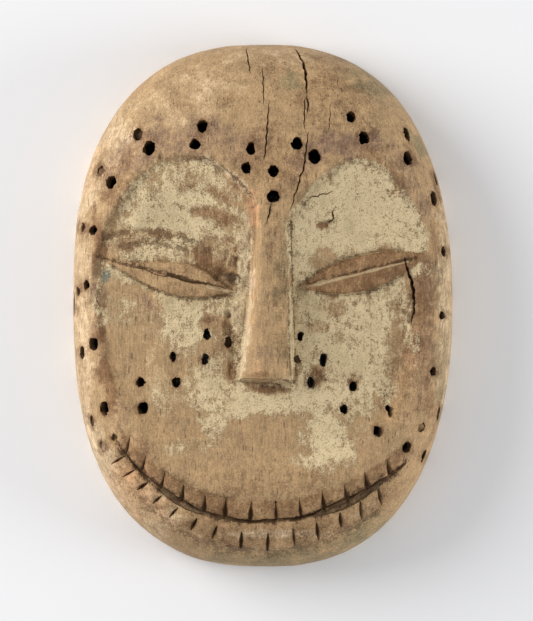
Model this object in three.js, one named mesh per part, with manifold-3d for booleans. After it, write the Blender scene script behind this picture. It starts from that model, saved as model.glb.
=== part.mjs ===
// A carved wooden face mask that lies on its back rim, in millimetres.
// X runs to the viewer's right, Y towards the forehead and Z up out of the face.
// The origin is the middle of the flat back rim.

import Module from 'manifold-3d';
import * as THREE from 'three';
import { mergeVertices } from 'three/addons/utils/BufferGeometryUtils.js';

const wasm = await Module();
wasm.setup();

// The block: a domed oval, and the hollow in its back
const block = {
  halfWidth: 54.3,
  halfLength: 74.8,
  squareness: 2.45,
  depth: 36,
  rimWall: 3,
  domeFlat: 2.6,
  domeRound: 3.2,
};
const hollow = {
  halfWidth: 47.6,
  halfLength: 67.6,
  squareness: 2.3,
  depth: 23.5,
  rimWall: 2,
  domeFlat: 2.4,
  domeRound: 2.6,
};
// The hand-cut outline leans off the true oval: size, turns round the rim and phase in degrees
const wobble = [
  { size: 0.0033, turns: 1, phase: 145 },
  { size: 0.0024, turns: 3, phase: 42 },
  { size: 0.0018, turns: 5, phase: 0 },
];

// The two brow arcs: the peak, then how the arc drops towards the nose and away from it
const brow = {
  left: { side: -1, peakX: 20.7, peakY: 42.7, innerRun: 18, innerDrop: 11.7, innerBend: 2,
    outerRun: 28.3, outerDrop: 29, outerBend: 2.6 },
  right: { side: 1, peakX: 27.5, peakY: 42, innerRun: 19.7, innerDrop: 14.7, innerBend: 1.75,
    outerRun: 21.9, outerDrop: 26, outerBend: 2.1 },
};
// The hollowed face below the brows: its edges and its floor, which falls a little to the sides
const face = {
  sideTop: 14,
  sideX: 49.2,
  leftWider: 1.4,
  sideCurve: 10,
  sideRun: 47,
  sideBend: 1.6,
  floor: 30,
  floorSide: 5.2,
  floorSideX: 45,
  floorEnds: 2.5,
  floorEndsY: 70,
  browShare: 0.36,
  shareFrom: 32,
  shareTo: 46,
  scoopRun: 19,
  edgeCrisp: 2.2,
  leftSoft: 4.2,
  rightSoft: 7.5,
  softFrom: 15,
  softTo: 45,
  steepest: 1.4,
  centreX: 2.5,
  lipRow: 6,
  lipFade: 17,
};
// The nose is a straight beam that flares to its cut tip and is buried in the forehead at its top
const nose = {
  top: 37,
  root: 27,
  clear: 19,
  tip: -21,
  flareTop: 26,
  ridgeX: -0.1,
  leftTop: -3.3,
  leftFlare: 4.5,
  leftBend: 2.2,
  rightTop: 7.8,
  rightFlare: 1.5,
  leftFlank: 1.9,
  rightFlank: 0.9,
  leftShoulder: 1.5,
  rightShoulder: 0.9,
  below: 8,
  proud: 0.1,
  buried: 0.9,
  stations: 10,
};
// Each eye is a leaf cut by a slit: outer and inner corner, then the two lids
const eyes = [
  { outer: [-47.5, 13.8], inner: [-7.5, 3.7], slitStart: 0.2, slitEnd: 0.97,
    upper: { reach: 5.0, skew: 1.67, bend: 1.05 }, lower: { reach: 5.6, skew: 1.16, bend: 1 } },
  { outer: [47.5, 14.4], inner: [9.3, 4.8], slitStart: 0.15, slitEnd: 0.97,
    upper: { reach: 5.1, skew: 1, bend: 0.8 }, lower: { reach: 6, skew: 0.95, bend: 1 } },
];
const lid = {
  rise: 2.2,
  edgeStep: 0.9,
  edgeWidth: 0.9,
  root: 1.5,
  firstStation: 0.05,
  lastStation: 0.95,
  stations: 9,
  shoulder: 0.6,
  rim: 0.97,
  slitStations: 6,
  slitWidth: 1.1,
  slitDepth: 1.4,
  slitEnds: 0.5,
};

// The mouth line and the lip under it
const mouth = {
  lowest: -61.4,
  reach: 41,
  leftRise: 21.7,
  leftBend: 2.5,
  rightRise: 16.6,
  rightBend: 2.15,
  width: 2,
  depth: 1.9,
  taper: 0.97,
  stations: 18,
};
const lip = {
  height: 8.6,
  sideLoss: 2,
  undercut: 1.3,
  edgeWidth: 1.3,
  fadeFrom: 0.65,
  fadeTo: 0.9,
  bevel: 1,
  bevelWidth: 2.6,
  bevelFadeFrom: 0.9,
  bevelFadeTo: 1.05,
};
// Where the gaps between the teeth meet the mouth line, across the face
const teeth = {
  above: [-39, -34.5, -29, -23.2, -16.7, -10.8, -3.5, 3.9, 11, 17.7, 24.3, 30.3, 36.5],
  below: [-39.1, -36, -32.6, -28.6, -24, -18.6, -12.9, -5.9, 1.6, 8.7, 15.4, 22.1, 27.9, 33.1],
  aboveLength: 5.7,
  aboveLean: -0.035,
  belowStart: 0.5,
  belowStartMiddle: 3,
  belowLength: 4.9,
  belowSideLoss: 0.07,
  leftLean: 0.075,
  rightLean: 0.025,
  width: 1.15,
  depth: 1.5,
  start: 0.2,
  end: 0.6,
};

// The cord holes, mostly in pairs: x, y and size
const holes = [
  [-17.2, 51.1, 3.2], [-19.2, 45.8, 3.2], [-3.3, 44.7, 3.3], [-4.5, 39.1, 2.9],
  [3.1, 38.3, 3.1], [3.1, 31.0, 3.2], [9.9, 46.2, 3.1], [14.8, 42.5, 3.4],
  [25.3, 53.8, 2.7], [28.9, 47.7, 3.4], [41.2, 49.0, 3.2], [41.4, 42.0, 3.6],
  [-35.6, 48.9, 3.1], [-32.3, 44.9, 3.7],
  [-43.2, 35.2, 3.1], [-46.2, 38.6, 2.8], [-48.4, 21.6, 2.8], [-51.2, 22.3, 2.8],
  [-50.3, 5.9, 2.5], [-52.6, 4.2, 2.5], [-48.3, -11.0, 3.1], [-51.5, -13.3, 3.3],
  [-45.1, -29.5, 3.4], [-48.7, -32.9, 3.0], [-42.1, -37.6, 2.3], [-45.4, -40.4, 3.2],
  [48.9, 30.6, 3.3], [49.5, 36.3, 3.6], [51.7, 15.4, 2.6], [51.4, -2.7, 2.5],
  [48.7, -18.8, 2.2], [45.5, -34.7, 2.6], [50.4, -30.8, 3.4], [41.2, -40.3, 2.6],
  [46.1, -43.0, 3.2],
  [-16.0, -8.2, 2.5], [-16.4, -15.2, 2.5], [-9.7, -10.3, 2.3], [-25.4, -14.5, 2.4],
  [-24.6, -21.8, 2.7], [-34.9, -21.9, 2.5], [-34.1, -29.1, 3.0],
  [10.7, -8.7, 2.2], [9.9, -15.3, 1.8], [17.3, -15.5, 3.0], [13.8, -21.9, 2.9],
  [26.0, -22.9, 2.5], [23.2, -29.5, 2.5], [36.2, -29.9, 2.3], [32.9, -35.7, 2.7],
];
const drill = { sides: 5, above: 5, through: 17, roughness: 0.16 };

// Drying cracks along the grain: where they start and end, with their widest opening
const cracks = [
  { from: [10.0, 71.5], bend: [12.6, 60.5], to: [12.0, 50.2], width: 1.0, depth: 3.2 },
  { from: [12.6, 49.2], bend: [11.4, 37.5], to: [8.0, 27.6], width: 0.55, depth: 2 },
  { from: [-4.5, 72.3], bend: [-4.0, 69], to: [-3.2, 65.8], width: 0.5, depth: 1.6 },
  { from: [1.9, 57.8], bend: [1.2, 50], to: [0.6, 41.8], width: 0.5, depth: 1.6 },
  { from: [40.5, 12.8], bend: [42.8, 4], to: [42.1, -5], width: 0.8, depth: 2 },
];

const crackEnds = 0.3;

// How finely the surface is faceted
const facets = {
  upperSpokes: 52,
  lowerSpokes: 28,
  faceRings: 10,
  sideRings: 8,
  bunching: 1.7,
  leastReach: 5,
  rimMargin: 3.2,
  halvings: 20,
  crackSteps: 4,
  hollowSpokes: 36,
  hollowRings: 8,
};

const wood = new THREE.MeshStandardMaterial({ color: 0xc0a078, roughness: 0.85, metalness: 0 });

const fullTurn = Math.PI * 2;

function smoothRise(from, to, value) {
  const t = THREE.MathUtils.clamp((value - from) / (to - from), 0, 1);
  return t * t * (3 - 2 * t);
}

// Distance from the middle to the outline in one direction
function outlineReach(oval, angle) {
  const across = Math.abs(Math.cos(angle) / oval.halfWidth) ** oval.squareness;
  const along = Math.abs(Math.sin(angle) / oval.halfLength) ** oval.squareness;
  let lean = 1;
  for (const wave of wobble) {
    lean += wave.size * Math.cos(wave.turns * angle - THREE.MathUtils.degToRad(wave.phase));
  }
  return lean * (across + along) ** (-1 / oval.squareness);
}

// Height of a smooth dome over the rim plane
function domeHeight(oval, x, y) {
  const outward = Math.min(Math.hypot(x, y) / outlineReach(oval, Math.atan2(y, x)), 1);
  const crown = (1 - outward ** oval.domeFlat) ** (1 / oval.domeRound);
  return oval.rimWall + (oval.depth - oval.rimWall) * crown;
}

function browSide(x) {
  return x < face.centreX ? brow.left : brow.right;
}

function browLine(x) {
  const arc = browSide(x);
  const beyond = x * arc.side - arc.peakX;
  if (beyond < 0) {
    return arc.peakY - arc.innerDrop * (-beyond / arc.innerRun) ** arc.innerBend;
  }
  return arc.peakY - arc.outerDrop * (beyond / arc.outerRun) ** arc.outerBend;
}

function faceSide(y) {
  if (y > face.sideTop) {
    return face.sideX;
  }
  return face.sideX - face.sideCurve * ((face.sideTop - y) / face.sideRun) ** face.sideBend;
}

function mouthLine(x) {
  const part = Math.abs(x) / mouth.reach;
  if (x < 0) {
    return mouth.lowest + mouth.leftRise * part ** mouth.leftBend;
  }
  return mouth.lowest + mouth.rightRise * part ** mouth.rightBend;
}

// How far under the brow line a point lies, square to it
function underBrow(x, y) {
  const step = 0.5;
  const slope = (browLine(x + step) - browLine(x - step)) / (2 * step);
  const lean = THREE.MathUtils.clamp(slope, -face.steepest, face.steepest);
  return (browLine(x) - y) / Math.hypot(1, lean);
}

function insideFace(x, y) {
  const fromSide = x < 0 ? faceSide(y) + face.leftWider + x : faceSide(y) - x;
  return Math.min(underBrow(x, y), fromSide);
}

// The face is cut back from the dome to its floor: at once along the sides, and under the brows
// with a low step that runs on as a scoop
function faceCut(x, y) {
  const sideFall = face.floorSide * (x / face.floorSideX) ** 2;
  const endFall = face.floorEnds * (y / face.floorEndsY) ** 2;
  const depth = Math.max(domeHeight(block, x, y) - face.floor + sideFall + endFall, 0);
  const beside = Math.abs(x - face.centreX);
  const softness = smoothRise(face.softFrom, face.softTo, beside);
  const soft = x < 0 ? face.leftSoft : face.rightSoft;
  const crisp = THREE.MathUtils.lerp(face.edgeCrisp, soft, softness);
  const inside = smoothRise(0, crisp, insideFace(x, y));
  const scoop = smoothRise(0, face.scoopRun, underBrow(x, y));
  const sideways = smoothRise(face.shareFrom, face.shareTo, beside);
  const share = THREE.MathUtils.lerp(face.browShare, 1, sideways);
  const aboveLip = smoothRise(0, face.lipFade, y - mouthLine(x) - face.lipRow);
  return depth * inside * THREE.MathUtils.lerp(scoop, 1, share) * aboveLip;
}

// Where a point lies on an eye: along from the outer corner, and up from the slit
function eyePlace(eye, x, y) {
  const along = (x - eye.outer[0]) / (eye.inner[0] - eye.outer[0]);
  const slitY = THREE.MathUtils.lerp(eye.outer[1], eye.inner[1], along);
  return { along, up: y - slitY };
}

function lidReach(shape, along) {
  return shape.reach * Math.sin(Math.PI * along ** shape.skew) ** shape.bend;
}

function lidRise(x, y) {
  for (const eye of eyes) {
    const { along, up } = eyePlace(eye, x, y);
    if (along > 0 && along < 1) {
      const reach = lidReach(up > 0 ? eye.upper : eye.lower, along);
      const fromEdge = reach - Math.abs(up);
      const fullness = Math.min(1, reach / eye.lower.reach);
      const step = lid.edgeStep * smoothRise(0, lid.edgeWidth, fromEdge);
      const crown = Math.max(0, 1 - (up / reach) ** 2);
      return (step + (lid.rise - lid.edgeStep) * crown) * fullness;
    }
  }
  return 0;
}

// The chin falls away under the lower lip, and the lip is bevelled into the mouth line
function lipCut(x, y) {
  const below = mouthLine(x) - y;
  const sideways = Math.abs(x) / mouth.reach;
  const height = lip.height - lip.sideLoss * sideways;
  const chin = lip.undercut * smoothRise(height, height + lip.edgeWidth, below);
  const bevel = lip.bevel * smoothRise(lip.bevelWidth, 0, Math.abs(below));
  const chinFade = smoothRise(lip.fadeTo, lip.fadeFrom, sideways);
  return chin * chinFade + bevel * smoothRise(lip.bevelFadeTo, lip.bevelFadeFrom, sideways);
}

// The front without its eyes and nose
function faceHeight(x, y) {
  return domeHeight(block, x, y) - faceCut(x, y) - lipCut(x, y);
}

// The nose beam's section at one place: x and height of its five corners, left to right
function noseSection(y) {
  const down = Math.max((nose.flareTop - y) / (nose.flareTop - nose.tip), 0);
  const left = nose.leftTop - nose.leftFlare * down ** nose.leftBend;
  const right = nose.rightTop + nose.rightFlare * down;
  const buried = nose.buried * smoothRise(nose.root, nose.top, y);
  const crest = domeHeight(block, nose.ridgeX, y) + nose.proud - buried;
  const shoulder = smoothRise(nose.root, nose.clear, y);
  return [
    [left, crest - nose.below],
    [left + nose.leftFlank, crest - nose.leftShoulder * shoulder],
    [nose.ridgeX, crest],
    [right - nose.rightFlank, crest - nose.rightShoulder * shoulder],
    [right, crest - nose.below],
  ];
}

function noseHeight(x, y) {
  if (y > nose.top || y < nose.tip) {
    return 0;
  }
  const section = noseSection(y);
  const after = section.findIndex(([cornerX]) => cornerX > x);
  if (after < 1) {
    return 0;
  }
  const [[fromX, fromZ], [toX, toZ]] = [section[after - 1], section[after]];
  return THREE.MathUtils.mapLinear(x, fromX, toX, fromZ, toZ);
}

function frontHeight(x, y) {
  return Math.max(faceHeight(x, y) + lidRise(x, y), noseHeight(x, y));
}

function surfacePoint(x, y) {
  return new THREE.Vector3(x, y, frontHeight(x, y));
}

function surfaceNormal(height, x, y) {
  const step = 0.4;
  const slopeX = (height(x + step, y) - height(x - step, y)) / (2 * step);
  const slopeY = (height(x, y + step) - height(x, y - step)) / (2 * step);
  return new THREE.Vector3(-slopeX, -slopeY, 1).normalize();
}

// A closed mesh through rings of equal length, with flat fans on the two ends
function loftGeometry(rings) {
  const count = rings[0].length;
  const points = rings.flat();
  const faces = [];
  for (let ring = 0; ring + 1 < rings.length; ring += 1) {
    for (let i = 0; i < count; i += 1) {
      const here = ring * count + i;
      const next = ring * count + ((i + 1) % count);
      faces.push(here, next, next + count, here, next + count, here + count);
    }
  }
  const ends = [rings[0], rings[rings.length - 1]];
  ends.forEach((ring, end) => {
    const middle = new THREE.Vector3();
    ring.forEach((point) => middle.addScaledVector(point, 1 / count));
    const hub = points.push(middle) - 1;
    const first = end * (rings.length - 1) * count;
    for (let i = 0; i < count; i += 1) {
      const here = first + i;
      const next = first + ((i + 1) % count);
      faces.push(hub, end ? here : next, end ? next : here);
    }
  });
  const geometry = new THREE.BufferGeometry().setFromPoints(points);
  geometry.setIndex(faces);
  return geometry;
}

function solidFrom(geometry) {
  const merged = mergeVertices(geometry, 1e-4);
  const mesh = new wasm.Mesh({
    numProp: 3,
    vertProperties: new Float32Array(merged.attributes.position.array),
    triVerts: new Uint32Array(merged.index.array),
  });
  return new wasm.Manifold(mesh);
}

function ringAt(angles, reach, height) {
  return angles.map((angle, i) => {
    const x = Math.cos(angle) * reach(angle, i);
    const y = Math.sin(angle) * reach(angle, i);
    return new THREE.Vector3(x, y, height(x, y));
  });
}

// Directions from one angle clockwise to another, without the last
function fanAngles(from, to, count) {
  return Array.from({ length: count }, (_, i) => THREE.MathUtils.lerp(from, to, i / count));
}

// How far the hollowed face reaches in one direction, down to the mouth line
function faceReach(angle) {
  let near = facets.leastReach;
  let far = outlineReach(block, angle) - facets.rimMargin;
  for (let halving = 0; halving < facets.halvings; halving += 1) {
    const middle = (near + far) / 2;
    const x = Math.cos(angle) * middle;
    const y = Math.sin(angle) * middle;
    if (Math.min(insideFace(x, y), y - mouthLine(x)) > 0) {
      near = middle;
    } else {
      far = middle;
    }
  }
  return near;
}

// The block with its carved face: the rings of its mesh follow the edge of the face
function blockSolid() {
  // Spokes stand closer over the brows and eyes than over the smooth chin
  const angles = [
    ...fanAngles(Math.PI, 0, facets.upperSpokes),
    ...fanAngles(0, -Math.PI, facets.lowerSpokes),
  ];
  const edges = angles.map(faceReach);
  const rims = angles.map((angle) => outlineReach(block, angle));
  const rings = [];
  for (let ring = 1; ring <= facets.faceRings; ring += 1) {
    const part = ring / facets.faceRings;
    rings.push(ringAt(angles, (_, i) => (edges[i] - face.edgeCrisp) * part, faceHeight));
  }
  rings.push(ringAt(angles, (_, i) => edges[i] - face.edgeCrisp / 2, faceHeight));
  for (let ring = 0; ring <= facets.sideRings; ring += 1) {
    const part = 1 - (1 - ring / facets.sideRings) ** facets.bunching;
    const reach = (_, i) => THREE.MathUtils.lerp(edges[i], rims[i], part);
    rings.push(ringAt(angles, reach, faceHeight));
  }
  rings.push(ringAt(angles, (_, i) => rims[i], () => 0));
  return solidFrom(loftGeometry(rings));
}

function hollowSolid() {
  const angles = fanAngles(fullTurn, 0, facets.hollowSpokes);
  const below = -2;
  const rings = [];
  for (let ring = 1; ring <= facets.hollowRings; ring += 1) {
    const outward = 1 - (1 - ring / facets.hollowRings) ** facets.bunching;
    const reach = (angle) => outlineReach(hollow, angle) * outward;
    rings.push(ringAt(angles, reach, (x, y) => domeHeight(hollow, x, y)));
  }
  rings.push(ringAt(angles, (angle) => outlineReach(hollow, angle), () => below));
  return solidFrom(loftGeometry(rings));
}

// One eye: a leaf that swells out of the hollowed face on both sides of its slit
function lidSolid(eye) {
  const rings = [];
  const rightSide = eye.outer[0] > 0;
  for (let station = 0; station < lid.stations; station += 1) {
    const part = station / (lid.stations - 1);
    const along = THREE.MathUtils.lerp(lid.firstStation, lid.lastStation, part);
    const x = THREE.MathUtils.lerp(eye.outer[0], eye.inner[0], along);
    const slitY = THREE.MathUtils.lerp(eye.outer[1], eye.inner[1], along);
    const above = lidReach(eye.upper, along);
    const below = -lidReach(eye.lower, along);
    const top = (up) => new THREE.Vector3(x, slitY + up, frontHeight(x, slitY + up));
    const root = (up) => top(up).setZ(faceHeight(x, slitY + up) - lid.root);
    const ring = [root(below), top(below * lid.rim), top(below * lid.shoulder), top(0),
      top(above * lid.shoulder), top(above * lid.rim), root(above)];
    rings.push(rightSide ? ring : ring.reverse());
  }
  return solidFrom(loftGeometry(rings));
}

// The nose beam: five-sided sections that follow the top of the block
function noseSolid() {
  const rings = [];
  for (let station = 0; station < nose.stations; station += 1) {
    const y = THREE.MathUtils.lerp(nose.tip, nose.top, station / (nose.stations - 1));
    rings.push(noseSection(y).map(([x, z]) => new THREE.Vector3(x, y, z)));
  }
  return solidFrom(loftGeometry(rings));
}

// A V-shaped cut that follows stations of x, y, width and depth along the surface
function grooveCutter(stations) {
  const clearance = 1.2;
  const rings = stations.map((station, i) => {
    const here = surfacePoint(station.x, station.y);
    const before = stations[Math.max(i - 1, 0)];
    const after = stations[Math.min(i + 1, stations.length - 1)];
    const run = surfacePoint(after.x, after.y).sub(surfacePoint(before.x, before.y)).normalize();
    const up = surfaceNormal(frontHeight, station.x, station.y);
    const side = new THREE.Vector3().crossVectors(run, up).normalize();
    const spread = (station.width / 2) * (1 + clearance / station.depth);
    const top = here.clone().addScaledVector(up, clearance);
    return [
      top.clone().addScaledVector(side, spread),
      here.clone().addScaledVector(up, -station.depth),
      top.clone().addScaledVector(side, -spread),
    ];
  });
  return solidFrom(loftGeometry(rings));
}

function mouthCutter() {
  const stations = [];
  for (let i = 0; i < mouth.stations; i += 1) {
    const part = (i / (mouth.stations - 1)) * 2 - 1;
    const fullness = Math.sqrt(1 - mouth.taper * Math.abs(part) ** 3);
    const x = part * mouth.reach;
    const width = mouth.width * fullness;
    stations.push({ x, y: mouthLine(x), width, depth: mouth.depth * fullness });
  }
  return grooveCutter(stations);
}

function slitCutter(eye) {
  const stations = [];
  for (let i = 0; i < lid.slitStations; i += 1) {
    const part = i / (lid.slitStations - 1);
    const along = THREE.MathUtils.lerp(eye.slitStart, eye.slitEnd, part);
    const fullness = lid.slitEnds + (1 - lid.slitEnds) * Math.sin(Math.PI * part);
    stations.push({
      x: THREE.MathUtils.lerp(eye.outer[0], eye.inner[0], along),
      y: THREE.MathUtils.lerp(eye.outer[1], eye.inner[1], along),
      width: lid.slitWidth * fullness,
      depth: lid.slitDepth * fullness,
    });
  }
  return grooveCutter(stations);
}

function gapStation(x, y, open) {
  return { x, y, width: teeth.width * open, depth: teeth.depth * open };
}

// Gaps above the mouth line are points that widen down to it
function toothGapAbove(x) {
  const foot = mouthLine(x);
  return grooveCutter([
    gapStation(x + teeth.aboveLean * x, foot + teeth.aboveLength, teeth.start),
    gapStation(x, foot, 1),
  ]);
}

// Gaps in the lower lip run down and outwards to its edge
function toothGapBelow(x) {
  const lean = (x < 0 ? teeth.leftLean : teeth.rightLean) * x;
  const length = teeth.belowLength + teeth.belowSideLoss * Math.min(x, 0);
  const gap = teeth.belowStart + teeth.belowStartMiddle * (1 - Math.abs(x) / mouth.reach);
  const start = mouthLine(x) - gap;
  return grooveCutter([
    gapStation(x, start, teeth.end),
    gapStation(x + lean / 2, start - length / 2, 1),
    gapStation(x + lean, start - length, teeth.end),
  ]);
}

// A rough many-sided hole, square to the surface and right through the wall
function holeCutter([x, y, size], index) {
  const smoothTop = (px, py) => domeHeight(block, px, py);
  const up = surfaceNormal(smoothTop, x, y);
  const side = new THREE.Vector3(0, 1, 0).cross(up).normalize();
  const along = new THREE.Vector3().crossVectors(up, side);
  const mouthPoint = surfacePoint(x, y);
  const ring = (offset) => Array.from({ length: drill.sides }, (_, i) => {
    const angle = (fullTurn * i) / drill.sides + index;
    const radius = (size / 2) * (1 + drill.roughness * Math.sin(2.4 * i + 5 * index));
    return mouthPoint.clone()
      .addScaledVector(up, offset)
      .addScaledVector(side, Math.cos(angle) * radius)
      .addScaledVector(along, Math.sin(angle) * radius);
  });
  return solidFrom(loftGeometry([ring(-drill.through), ring(drill.above)]));
}

function crackCutter(crack) {
  const route = new THREE.QuadraticBezierCurve(
    new THREE.Vector2(...crack.from),
    new THREE.Vector2(...crack.bend),
    new THREE.Vector2(...crack.to),
  );
  const stations = route.getPoints(facets.crackSteps).map((point, i) => {
    const swell = Math.sin((Math.PI * i) / facets.crackSteps);
    const open = crackEnds + (1 - crackEnds) * swell;
    return { x: point.x, y: point.y, width: crack.width * open, depth: crack.depth * open };
  });
  return grooveCutter(stations);
}

function carveMask() {
  let solid = blockSolid().add(noseSolid());
  for (const eye of eyes) {
    solid = solid.add(lidSolid(eye));
  }
  const cutters = [
    hollowSolid(),
    mouthCutter(),
    ...eyes.map(slitCutter),
    ...teeth.above.map(toothGapAbove),
    ...teeth.below.map(toothGapBelow),
    ...cracks.map(crackCutter),
    ...holes.map(holeCutter),
  ];
  for (const cutter of cutters) {
    solid = solid.subtract(cutter);
  }
  return solid;
}

function meshFrom(solid, name, material) {
  const { vertProperties, triVerts } = solid.getMesh();
  const geometry = new THREE.BufferGeometry();
  geometry.setAttribute('position', new THREE.BufferAttribute(vertProperties, 3));
  geometry.setIndex(new THREE.BufferAttribute(triVerts, 1));
  geometry.computeVertexNormals();
  const mesh = new THREE.Mesh(geometry, material);
  mesh.name = name;
  return mesh;
}

const part = new THREE.Group();
part.add(meshFrom(carveMask(), 'mask', wood));

export default part;
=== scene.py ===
import math

import bpy
import numpy as np
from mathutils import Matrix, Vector


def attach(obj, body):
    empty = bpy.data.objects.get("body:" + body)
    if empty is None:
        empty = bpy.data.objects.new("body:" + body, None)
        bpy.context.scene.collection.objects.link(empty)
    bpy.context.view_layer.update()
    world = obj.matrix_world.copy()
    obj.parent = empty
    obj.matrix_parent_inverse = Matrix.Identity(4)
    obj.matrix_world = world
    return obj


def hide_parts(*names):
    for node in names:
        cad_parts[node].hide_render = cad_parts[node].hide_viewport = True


# Carved wooden face mask, lying on its back rim and looking up.
# X to the viewer's right, Y towards the forehead, Z up out of the face.
# Every size below is in millimetres; mm turns it into Blender metres.

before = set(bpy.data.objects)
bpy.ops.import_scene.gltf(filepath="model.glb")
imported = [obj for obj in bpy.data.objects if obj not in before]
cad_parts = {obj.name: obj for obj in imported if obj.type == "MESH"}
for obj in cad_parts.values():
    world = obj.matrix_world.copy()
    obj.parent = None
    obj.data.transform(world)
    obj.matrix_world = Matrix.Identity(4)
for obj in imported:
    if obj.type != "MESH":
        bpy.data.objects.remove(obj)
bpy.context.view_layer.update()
mm = 0.001


# Small helpers

def smoothRise(start, end, value):
    part = np.clip((value - start) / (end - start), 0, 1)
    return part * part * (3 - 2 * part)


def mix(low, high, part):
    return low + (high - low) * part


noiseCells = 32   # the noise repeats after so many cells


def softNoise(points, cell, seed):
    # Smooth noise from -1 to 1, with one random value for each cell of that size
    table = np.random.default_rng(seed).uniform(-1, 1, (noiseCells,) * 3)
    place = points / np.asarray(cell, float)
    corner = np.floor(place).astype(int)
    part = place - corner
    part = part * part * (3 - 2 * part)
    total = np.zeros(len(points))
    for step in np.ndindex(2, 2, 2):
        weight = np.prod(np.where(step, part, 1 - part), axis=1)
        total += weight * table[tuple(((corner + step) % noiseCells).T)]
    return total


def waves(place, rows, middle=0):
    # Sine waves added up: size, turns and phase of each
    return sum((size * np.sin(turns * place + phase) for size, turns, phase in rows), middle)


def hexColor(text):
    channels = [int(text[i:i + 2], 16) / 255 for i in (1, 3, 5)]
    linear = [c / 12.92 if c <= 0.04045 else ((c + 0.055) / 1.055) ** 2.4 for c in channels]
    return (*linear, 1)


def addNode(tree, kind, settings=None, inputs=None):
    # An input is a value, a socket, or a node whose first output is meant
    node = tree.nodes.new(kind)
    for name, value in (settings or {}).items():
        setattr(node, name, value)
    for socket, value in (inputs or {}).items():
        if isinstance(value, bpy.types.Node):
            value = value.outputs[0]
        if isinstance(value, bpy.types.NodeSocket):
            tree.links.new(value, node.inputs[socket])
        else:
            node.inputs[socket].default_value = value
    return node


def meshObject(name, points, faces, attributes=None):
    mesh = bpy.data.meshes.new(name)
    mesh.from_pydata((np.asarray(points) * mm).tolist(), *faces)
    for key, values in (attributes or {}).items():
        values = np.asarray(values, np.float32)
        kind = "FLOAT_VECTOR" if values.ndim > 1 else "FLOAT"
        layer = mesh.attributes.new(key, kind, "POINT")
        layer.data.foreach_set("vector" if values.ndim > 1 else "value", values.ravel())
    thing = bpy.data.objects.new(name, mesh)
    bpy.context.scene.collection.objects.link(thing)
    return thing


def readVectors(rows, key):
    values = np.zeros(len(rows) * 3, np.float32)
    rows.foreach_get(key, values)
    return values.reshape(-1, 3)


def bakeModifiers(thing):
    graph = bpy.context.evaluated_depsgraph_get()
    result = bpy.data.meshes.new_from_object(thing.evaluated_get(graph))
    thing.modifiers.clear()
    old = thing.data
    thing.data = result
    result.name = thing.name
    bpy.data.meshes.remove(old)


def newTree(name, sizes):
    # A geometry tree with one input for each size, and its material last
    tree = bpy.data.node_groups.new(name, "GeometryNodeTree")
    tree.interface.new_socket("Geometry", in_out="INPUT", socket_type="NodeSocketGeometry")
    for key, value in sizes.items():
        kind = "NodeSocketInt" if isinstance(value, int) else "NodeSocketFloat"
        tree.interface.new_socket(key, in_out="INPUT", socket_type=kind)
    tree.interface.new_socket("Material", in_out="INPUT", socket_type="NodeSocketMaterial")
    tree.interface.new_socket("Geometry", in_out="OUTPUT", socket_type="NodeSocketGeometry")
    return tree, tree.nodes.new("NodeGroupInput").outputs


def endTree(tree, geometry, material):
    real = addNode(tree, "GeometryNodeRealizeInstances", inputs={"Geometry": geometry})
    last = addNode(tree, "GeometryNodeSetMaterial", inputs={"Geometry": real, "Material": material})
    addNode(tree, "NodeGroupOutput", inputs={0: last})


def runTree(thing, tree, sizes, material):
    modifier = thing.modifiers.new(tree.name, "NODES")
    modifier.node_group = tree
    values = {**sizes, "Material": material}
    for item in tree.interface.items_tree:
        if item.in_out == "INPUT" and item.name in values:
            modifier[item.identifier] = values[item.name]
    bakeModifiers(thing)


def cutWith(piece, tool, operation="DIFFERENCE"):
    modifier = piece.modifiers.new("cut", "BOOLEAN")
    modifier.operation = operation
    modifier.solver = "MANIFOLD"
    modifier.object = tool
    bakeModifiers(piece)
    bpy.data.objects.remove(tool)


# The block: a domed oval, the hollow in its back and the hand-cut lean of its outline

block = {
    "halfWidth": 54.3, "halfLength": 74.8, "squareness": 2.45, "depth": 36,
    "rimWall": 3, "domeFlat": 2.6, "domeRound": 3.2, "rings": 125, "sideRows": 4, "bottom": 0,
}
hollow = {
    "halfWidth": 47.6, "halfLength": 67.6, "squareness": 2.3, "depth": 23.5,
    "rimWall": 2, "domeFlat": 2.4, "domeRound": 2.6, "rings": 46, "sideRows": 1, "bottom": -2,
}
# The outline's lean off a true oval, from a least-squares fit to the edge in the photo, as are the
# block's half width and squareness: size, turns, phase in degrees
wobble = [(0.0033, 1, 145), (0.0024, 3, 42), (0.0018, 5, 0)]


def outlineReach(oval, angle):
    across = np.abs(np.cos(angle) / oval["halfWidth"]) ** oval["squareness"]
    along = np.abs(np.sin(angle) / oval["halfLength"]) ** oval["squareness"]
    lean = 1 + sum(size * np.cos(turns * angle - math.radians(phase)) for size, turns, phase in wobble)
    return lean * (across + along) ** (-1 / oval["squareness"])


def domeHeight(oval, x, y):
    outward = np.minimum(np.hypot(x, y) / outlineReach(oval, np.arctan2(y, x)), 1)
    crown = (1 - outward ** oval["domeFlat"]) ** (1 / oval["domeRound"])
    return oval["rimWall"] + (oval["depth"] - oval["rimWall"]) * crown


# The hollowed face under the two brow arcs

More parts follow.
